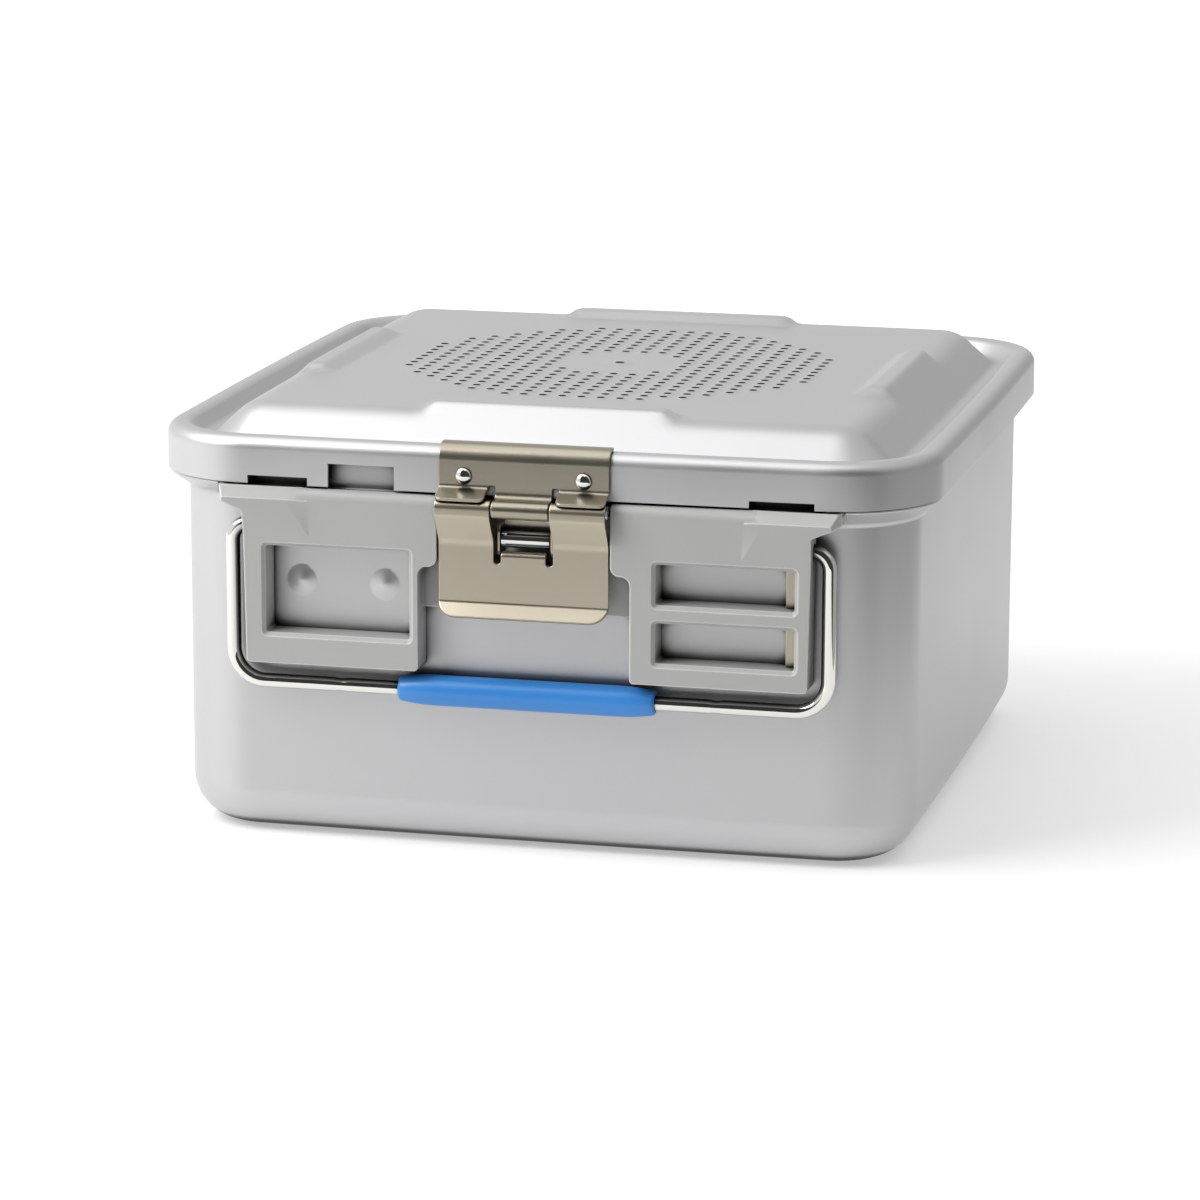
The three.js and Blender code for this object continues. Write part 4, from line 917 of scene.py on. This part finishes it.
def hull_piece(name, points):
    """Smallest convex solid round a set of points."""
    piece = mesh_piece(name, points, [])
    with editing(piece.data) as bm:
        result = bmesh.ops.convex_hull(bm, input=bm.verts)
        bmesh.ops.delete(bm, geom=result["geom_interior"], context="VERTS")
        bmesh.ops.dissolve_limit(bm, angle_limit=math.radians(1), verts=bm.verts, edges=bm.edges)
        bmesh.ops.recalc_face_normals(bm, faces=bm.faces)
    return piece


def build_left_frame():
    """Left half. A wedge swells out towards the upper corner and runs on into the ear's tip."""
    fade, under, crown = 119.0, 128.4, 133.5
    foot, foot_top, crest, far, cut = -82.2, -82.5, -90.6, -121.0, -32
    root, crown_y = plate_face + crown_radius, plate_proud + 4.4
    front = rounded_path([
        (-plate_inner_top - 9, plate_top), (far, plate_top), (far, under + 5.6),
        (-plate_half - 1, under, 0.9), (-plate_half, plate_bottom, 1.5),
        (-plate_inner_low, plate_bottom, 1.5), (-plate_inner_low, plate_step, 3.5),
        (-plate_inner_top, plate_step, 3.5), (-plate_inner_top, plate_top),
    ], 10, 0.2)
    side = [(plate_back, plate_bottom), (plate_back, plate_top)]
    side += arc((root, plate_top - crown_radius), crown_radius, 90, 180, 10)
    side += [(plate_face, plate_bottom)]
    above = [(cut, -141), (cut, -158), (-115.4, -158), (-115.4, plate_proud), (-119.6, -147.5),
             (-117, -144.5), (-plate_half, -144.5), (-plate_half, -141)]
    wedge = hull_piece("wedge", [
        (far, plate_face, fade), (foot, plate_face, fade),
        (foot_top, plate_face, plate_top - crown_radius), (foot_top, root, plate_top),
        (crest, plate_proud, crown), (far, plate_proud, crown), (crest, crown_y, plate_top),
        (far, crown_y, plate_top), (far, root, fade), (foot, root, fade), (far, root, plate_top),
    ])
    body = combine(prism("left_frame", side, far, cut, "x"), [wedge], "UNION")
    cuts = [prism("cutter", front, -160, -140, "y"), prism("cutter", above, 60, 140, "z")]
    return combine(body, cuts, "INTERSECT")


def window_cutter(x, z, y, flare=0.0):
    """Block with rounded corners along y, wider all round by flare at its front."""
    vertices = []
    for depth, grow in zip(y, (flare, 0.0)):
        radius = window_corner + grow
        left, right = x[0] - grow + radius, x[1] + grow - radius
        low, high = z[0] - grow + radius, z[1] + grow - radius
        for centre, start in (((right, high), 0), ((left, high), 90), ((left, low), 180),
                              ((right, low), 270)):
            vertices += [(px, depth, pz) for px, pz in arc(centre, radius, start, start + 90, 6)]
    return mesh_piece("cutter", vertices, skin_faces(2, len(vertices) // 2))


def facet(face):
    """Whether a face is a large flat one. A bevel's strip is narrow and has four sides."""
    smallest = facet_area if len(face.verts) == 4 else odd_facet_area
    return face.calc_area() > smallest * MM * MM


def crisp_facets(piece):
    """Keeps the edge between two large flat faces crisp, and leaves the narrow bevels smooth."""
    with editing(piece.data) as bm:
        for edge in bm.edges:
            if len(edge.link_faces) == 2 and all(facet(face) for face in edge.link_faces):
                edge.smooth = edge.calc_face_angle(0) <= flat_angle
    return piece


def build_handle_plate():
    plate = build_left_frame()
    right = changed_copy(plate, MIRROR)
    web = block((-web_half, web_half), (web_front, web_back), (web_bottom, shoulder_clear_z))
    combine(plate, [right, web], "UNION")
    cutters = [
        block((-opening_half, opening_half), (-158, -140), (opening_low, opening_high)),
        block((-shoulder_half, shoulder_half), (shoulder_clear_y, plate_back + overrun),
              (shoulder_clear_z, plate_top + overrun)),
    ]
    for left, right_edge, low, high, stop_width in windows:
        x = (left + window_bevel, right_edge - window_bevel)
        z = (low + window_bevel, high - window_bevel)
        flare_depth = (plate_face - window_bevel, plate_face + window_bevel)
        cutters.append(window_cutter(x, z, (plate_face - overrun, stop_face)))
        cutters.append(window_cutter((x[0], x[1] - stop_width), z, (stop_face - 0.5, plate_back + 2)))
        cutters.append(window_cutter(x, z, flare_depth, 2 * window_bevel))
    bore = rod(bore_radius, bore_start, bore_end, 24, "x", (0, wire_plane, pivot_height))
    combine(plate, cutters + [changed_copy(bore, MIRROR), bore], "DIFFERENCE")
    plate.name = "front_plate_moulding"
    return crisp_facets(soften(plate, 0.7, 3))


print("handle plate:", 2 * plate_half, "mm wide, with", len(windows), "windows")

# %% [markdown]
# Folded sheet
#
# A latch is punched flat and then folded, so it is made that way here too. The blank is a flat
# outline of width and length. It gets its window, its corner radii and its small edge bevel while it
# is flat, where they are easy. Then it is cut across at each step of the bends and laid along a path.

# %% Fold helpers


def fold_lengths(path):
    """Length along a path at each of its points."""
    lengths = [0.0]
    for (y0, z0), (y1, z1) in zip(path, path[1:]):
        lengths.append(lengths[-1] + math.hypot(y1 - y0, z1 - z0))
    return lengths


def length_at_height(path, z):
    """Length along a path where it first reaches a height."""
    lengths = fold_lengths(path)
    for k, ((y0, z0), (y1, z1)) in enumerate(zip(path, path[1:])):
        if min(z0, z1) <= z <= max(z0, z1) and z0 != z1:
            return lengths[k] + (lengths[k + 1] - lengths[k]) * (z - z0) / (z1 - z0)
    return lengths[-1]


def mirrored_outline(right_half):
    """Closed outline from the keys of its right half, the first one on the middle line."""
    left_half = [(-x, y, *rest) for x, y, *rest in right_half[::-1]]
    return rounded_path(right_half + left_half, 10)[:-1]


def place_on(path, lengths, place, depth):
    """Point at a length along a path and at a depth to its right."""
    last = len(path) - 2
    k = next((k for k in range(last + 1) if place <= lengths[k + 1] + 1e-4), last)
    start, end = Vector(path[k]), Vector(path[k + 1])
    here = start.lerp(end, (place - lengths[k]) / (lengths[k + 1] - lengths[k]))
    right = Vector((end.y - start.y, start.x - end.x)).normalized()
    if k < last and abs(place - lengths[k + 1]) < 0.002:
        after = Vector(path[k + 2]) - end
        bisector = right + Vector((after.y, -after.x)).normalized()
        right = bisector * (2 / bisector.length_squared)
    return here + right * depth


def fold(blank, paths, choose):
    """Cuts a flat blank at every step of its paths and lays each point along the path chosen for it."""
    tables = {name: (path, fold_lengths(path)) for name, path in paths.items()}
    steps = {round(place, 4) for _, lengths in tables.values() for place in lengths[1:-1]}
    with editing(blank.data) as bm:
        for place in sorted(steps):
            everything = bm.verts[:] + bm.edges[:] + bm.faces[:]
            bmesh.ops.bisect_plane(
                bm, geom=everything, plane_co=(0, place * MM, 0), plane_no=(0, 1, 0), dist=1e-7)
        for vertex in bm.verts:
            x, place, depth = vertex.co / MM
            point = place_on(*tables[choose(x, place)], place, depth)
            vertex.co = Vector((x, point.x, point.y)) * MM
        bmesh.ops.recalc_face_normals(bm, faces=bm.faces)
    return blank


print("the same strip laid flat is", round(fold_lengths(one_bend)[-1], 2), "mm long")

# %% [markdown]
# Latch
#
# The upper plate is folded over the lid's rim. Its middle strap rolls round the hinge pin between
# the two knuckles of the lever, and a tab on each side stands out above them. The lever has a slot on
# each side of a tongue that curls in under the roller, and a flared lip to pull on.

# %% Latch plate and lever
latch_sheet, latch_half, latch_clear = 1.2, 32.3, 0.3
pin_centre = (-156.6, 133.8)
knuckle_inner = 2.2
knuckle_outer = knuckle_inner + latch_sheet
latch_face = -LID_BASE[1] - latch_clear - latch_sheet
latch_low, latch_edge, wrap_radius = 140.9, 0.3, 6.2
strap_half, tab_inner, tab_tip = 10.8, 13.5, (-160.5, 137.8)
lever_face, lever_knee, lever_crease = -153.6, 131.0, 120.8
lip_height, lip_end, lip_reach = 97.8, 92.9, 3.7
slot_inner, slot_outer, slot_low, tongue_top = 8.5, 11.3, 112.8, 119.4
tongue_bend, tongue_reach = 117.4, 30


def build_latch_plate():
    top = rim_height + latch_clear + latch_sheet
    wrap = [(wrap_radius - LID_BASE[1], top), (latch_face, top, wrap_radius)]
    roll = arc(pin_centre, knuckle_outer, 90, 330, 24)
    strap = rounded_path(wrap + [(latch_face, roll[0][1], 2.4), roll[0]], 10) + roll[1:]
    tab = rounded_path(wrap + [(latch_face, latch_low, 1.6), tab_tip], 10)
    strap_end, tab_end = fold_lengths(strap)[-1], fold_lengths(tab)[-1]
    slot_top = length_at_height(strap, latch_low + 1.0)
    right = [(0, 0), (latch_half, 0), (latch_half, tab_end, 2.5), (tab_inner, tab_end, 2.5),
             (tab_inner, slot_top, 0.6), (strap_half, slot_top, 0.6), (strap_half, strap_end)]
    blank = prism("front_latch_upper", mirrored_outline(right), -latch_sheet, 0, "z")
    soften(blank, latch_edge)
    middle = (strap_half + tab_inner) / 2
    return fold(blank, {"strap": strap, "tab": tab},
                lambda x, place: "tab" if abs(x) > middle else "strap")


def build_lever():
    front = pin_centre[0] - knuckle_outer
    keys = [(lever_face - lip_reach, lip_end), (lever_face, lip_height, 1.5),
            (lever_face, lever_crease, 5.0), (front, lever_knee, 3.0), (front, pin_centre[1])]
    side = rounded_path(keys, 10) + arc(pin_centre, knuckle_outer, 180, -20, 24)[1:]
    tongue = rounded_path(
        keys[:2] + [(lever_face, tongue_bend, 2.0), (lever_face + tongue_reach, tongue_bend)], 10)
    low = length_at_height(side, slot_low)
    tip = length_at_height(side, tongue_top)
    total = fold_lengths(side)[-1]
    right = [(0, 0), (latch_half, 0, 7.0), (latch_half, total), (slot_outer, total),
             (slot_outer, low, 1.3), (slot_inner, low, 1.3), (slot_inner, tip, 0.8)]
    blank = prism("front_lever_fine", mirrored_outline(right), 0, latch_sheet, "z")
    soften(blank, latch_edge)
    middle = (slot_inner + slot_outer) / 2
    return fold(blank, {"side": side, "tongue": tongue},
                lambda x, place: "tongue" if abs(x) < middle and place > low + 0.5 else "side")


def build_dome(name, place, radius, height, face):
    """Domed rivet head that stands out towards -Y."""
    curve = [(radius * math.cos(a), face - height * math.sin(a))
             for a in (RIGHT_ANGLE * k / 8 for k in range(8))]
    profile = [(0, face)] + curve + [(0, face - height)]
    return shade(turned(name, profile, 32, "y", (place[0], 0, place[1])))


print("latch sheet:", latch_sheet, "mm, knuckle radius outside:", knuckle_outer, "mm")

# %% [markdown]
# Catch, handle and grip
#
# The roller turns between two ears of a small bracket. The handle is one bent wire whose ends go into
# the moulding, and the grip is a tube over its lower run, drawn in at both ends.

# %% Roller, wire and grip
roller_centre = (wire_plane, 121.3)
bracket_sheet, bracket_clear, bracket_half = 1.2, 0.3, 15.5
bracket_front, ear_low, ear_top, ear_place = -150.6, 115.0, 127.0, 9.6
spring_x, spring_clear = (97.4, 101.1), 0.2
rivet_tip = -147.2
crimp_places, crimp_length, crimp_depth, crimp_step = (-71.8, 71.8), 3.0, 0.35, 1.201
straight_half = 101.0


def build_roller():
    profile = both_ends([(3.25, 9.1), (3.0, 9.4), (1.5, 9.4), (1.5, 11.4), (0, 11.4)])
    return shade(turned("front_roller_fine", profile, 40, "x", (0, *roller_centre)))


def build_pin():
    profile = both_ends([(1.9, 32.3), (1.6, 32.6), (0, 32.6)])
    return shade(turned("front_pin_fine", profile, 32, "x", (0, *pin_centre)))


def build_bracket():
    base_back = -TUB_BASE[1] - bracket_clear
    base_front = base_back - bracket_sheet
    bracket = block((-bracket_half, bracket_half), (base_front, base_back), (106.0, 129.0))
    ear_outline = rounded_path([
        (base_back, ear_low), (base_back, ear_top), (bracket_front, ear_top, 3.0),
        (bracket_front, ear_low, 3.0), (base_back, ear_low)], 6)[:-1]
    ears = [prism("bracket_ear", ear_outline, x, x + bracket_sheet, "x")
            for x in (ear_place, -ear_place - bracket_sheet)]
    combine(bracket, ears, "UNION")
    journal = rod(1.8, -bracket_half, bracket_half, 24, "x", (0, *roller_centre))
    combine(bracket, [journal], "DIFFERENCE")
    bracket.name = "front_bracket_fine"
    return soften(bracket, 0.25)


def build_tag_spring(number, low, high):
    """Thin steel strip on the stop at the end of a tag window."""
    inset = window_bevel + spring_clear
    strip = block(spring_x, (stop_face - 0.5, stop_face - 0.02), (low + inset, high - inset))
    strip.name = f"front_tag_spring_{number}"
    return soften(strip, 0.12)


def build_plate_rivet(number, x, z):
    """Rivet from inside the tub into the moulding, with its low head inside."""
    tip, inside = rivet_tip, -TUB_BASE[1] + 3.0
    profile = [(0, tip), (1.7, tip), (2.0, tip + 0.3), (2.0, inside), (3.7, inside),
               (4.0, inside + 0.3), (3.8, inside + 0.8), (3.0, inside + 1.25), (1.8, inside + 1.5),
               (0, inside + 1.5)]
    name = f"front_plate_rivet_fine_{number}"
    return shade(turned(name, profile, 32, "y", (x, 0, z)), math.radians(40))


def build_wire():
    keys = [(-96.0, pivot_height), (-wire_half, pivot_height, 6.8), (-wire_half, grip_height, 12.3),
            (wire_half, grip_height, 12.3), (wire_half, pivot_height, 6.8), (96.0, pivot_height)]
    path = fine_path(rounded_path(keys, 16), crimp_step, -straight_half, straight_half)
    sides, vertices = 28, []
    for k, (x, z) in enumerate(path):
        before, after = Vector(path[max(k - 1, 0)]), Vector(path[min(k + 1, len(path) - 1)])
        tangent = (after - before).normalized()
        across = Vector((-tangent.y, tangent.x))
        pinch = max(1 - abs(x - place) / crimp_length for place in crimp_places)
        squeeze = crimp_depth * smooth(pinch) if abs(z - grip_height) < 0.5 else 0.0
        for cosine, sine in circle((0, 0), 1, sides):
            reach = wire_radius - squeeze * abs(sine) ** 3
            side = across * reach * sine
            vertices.append((x + side.x, wire_plane + reach * cosine, z + side.y))
    return shade(mesh_piece("front_wire_fine", vertices, skin_faces(len(path), sides)))


def build_grip():
    end, radius, end_radius = 49.0, 5.8, 4.7
    profile = both_ends([
        (radius, end - 14.0), (5.72, end - 10.5), (5.48, end - 7.0), (5.1, end - 4.0),
        (end_radius, end - 1.0), (end_radius - 0.35, end - 0.25), (end_radius - 0.9, end),
        (bore_radius, end)])
    profile.append(profile[0])
    grip = turned("front_grip_fine", profile, 48, "x", (0, wire_plane, grip_height))
    return shade(grip, SOFT_ANGLE)


print("handle wire:", 2 * wire_radius, "mm thick and", 2 * wire_half, "mm wide between its arms")

# %% [markdown]
# Front and rear
#
# The rear of the container carries the same set as the front, turned half round. Each piece is built
# once, dressed, and copied with a half turn.

# %% Place both sides
rivet_places = ((-72, 126.5), (-72, 73.4), (72, 126.5), (72, 73.4))
bracket_face = -TUB_BASE[1] - 2 * bracket_clear - bracket_sheet
side_pieces = [
    (build_handle_plate(), "base", "moulding", "handle_plate"),
    (build_latch_plate(), "lid", "latch_steel", "latch_plate", "latch_plate_steel"),
    (build_lever(), "lever", "latch_steel", "latch_lever"),
    (build_roller(), "base", "polished_steel", "catch_roller"),
    (build_bracket(), "base", "latch_steel", "catch_bracket"),
    (build_pin(), "lid", "polished_steel", "latch_pin"),
    (build_wire(), "handle", "polished_steel", "handle_wire"),
    (build_grip(), "handle", "blue_grip", "handle_grip"),
]


def add_heads(row, body, half_gap, height, radius, rise, face):
    """Add the pair of rivet heads that holds the latch plate or the bracket."""
    for number, x in enumerate((-half_gap, half_gap), 1):
        head = build_dome(f"front_{row}_head_{number}", (x, height), radius, rise, face)
        side_pieces.append((head, body, "polished_steel", f"{row}_rivet_{number}"))


add_heads("latch", "lid", 22.7, 145.1, 3.15, 1.7, latch_face - latch_clear)
for number, (x, z) in enumerate(rivet_places, 1):
    rivet = build_plate_rivet(number, x, z)
    side_pieces.append((rivet, "base", "polished_steel", f"plate_rivet_{number}"))
for number, window in enumerate(windows[1:], 1):
    side_pieces.append((build_tag_spring(number, *window[2:4]), "base", "latch_steel", None))
add_heads("bracket", "base", 4.8, 110.3, 3.0, 1.4, bracket_face)

for piece, body, slot, node, *finish in side_pieces:
    twin = add_to_scene(piece.copy())
    twin.name = piece.name.replace("front", "rear")
    twin.matrix_world = HALF_TURN @ piece.matrix_world
    for side, copy_piece in (("front", piece), ("rear", twin)):
        owner = f"{side}_{body}" if body in ("lever", "handle") else body
        dress(copy_piece, owner, slot, *finish)
        if node:
            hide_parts(f"{side}_{node}")
print("side pieces:", len(side_pieces))

# %% [markdown]
# Floor and light
#
# The photograph is a product shot: white ground, one large soft light from the upper left and a soft
# shadow to the right. Two area lights do that, a strong one and a weak one overhead, and a bright
# world lights the metal from all sides. Polished wire reads as metal only when something dark stands
# opposite, so the world has a dark wall in front, which the camera never sees. The floor ends some
# way in front and to the right, so that the metal mirrors less white there. The floor also glows, a
# painted light that lifts its shadows, and it glows more away from the object, where it fades into
# the ground.

# %% Staging
floor_front, floor_right, floor_size = -0.95, 0.42, 12
fade_start, fade_end, glow_near, glow_far = 0.35, 1.6, 0.42, 0.8
WORLD_LEFT, WORLD_BACK, WORLD_RIGHT, WORLD_HIGH, WORLD_WALL = 1.0, 0.80, 0.45, 0.80, 0.05
WHITE = (1, 1, 1, 1)


def floor_finish():
    """White floor that glows, a painted light that lifts its shadows, more so away from the object."""
    material = bpy.data.materials.new("floor_white")
    material.use_nodes = True
    tree = material.node_tree
    place = add_node(tree, "NewGeometry").outputs["Position"]
    distance = add_node(tree, "VectorMath", {0: place}, operation="LENGTH").outputs["Value"]
    glow = map_range(tree, distance, fade_start, fade_end, glow_near, glow_far)
    feed(tree, tree.nodes["Principled BSDF"], {
        "Base Color": srgb(204, 204, 204), "Roughness": 0.6,
        "Emission Color": WHITE, "Emission Strength": glow})
    return material


bpy.ops.mesh.primitive_plane_add(size=floor_size)
floor = bpy.context.object
floor.name = "floor"
floor.location = (floor_right - floor_size / 2, floor_front + floor_size / 2, 0)
floor.data.materials.append(floor_finish())


def soft_light(name, place, target, size, power):
    data = bpy.data.lights.new(name, "AREA")
    data.shape = "RECTANGLE"
    data.size, data.size_y = size
    data.energy = power
    light = add_to_scene(bpy.data.objects.new(name, data))
    light.location = place
    light.rotation_euler = (Vector(target) - Vector(place)).to_track_quat("-Z", "Y").to_euler()


soft_light("key", (-1.5, -1.0, 1.6), (0, 0, 0.08), (1.4, 1.4), 46)
soft_light("overhead", (-0.25, -0.30, 1.5), (0, 0, 0.1), (1.7, 1.0), 5.5)


def build_world():
    """White studio with a dark front wall for the reflections, and plain white for the camera."""
    world = bpy.data.worlds.new("studio")
    bpy.context.scene.world = world
    world.use_nodes = True
    tree = world.node_tree
    direction = add_node(tree, "TexCoord").outputs["Generated"]
    x, y, z = add_node(tree, "SeparateXYZ", {0: direction}).outputs

    def mixed(factor, first, second):
        return mix(tree, factor, first, second, "FLOAT")

    front = map_range(tree, y, -0.58, -0.28, 1.0, 0.0)
    not_left = map_range(tree, x, -0.65, -0.40)
    wall = add_node(tree, "Math", {0: front, 1: not_left}, operation="MULTIPLY").outputs["Value"]
    level = map_range(tree, x, -0.75, -0.35, WORLD_LEFT, WORLD_BACK)
    level = mixed(map_range(tree, x, -0.1, 0.5), level, WORLD_RIGHT)
    level = mixed(map_range(tree, z, 0.45, 0.65), level, WORLD_HIGH)
    level = mixed(wall, level, WORLD_WALL)
    seen = add_node(tree, "LightPath").outputs["Is Camera Ray"]
    feed(tree, tree.nodes["Background"], {"Color": WHITE, "Strength": mixed(seen, level, 1.0)})


build_world()
bpy.context.scene.view_settings.view_transform = "Standard"
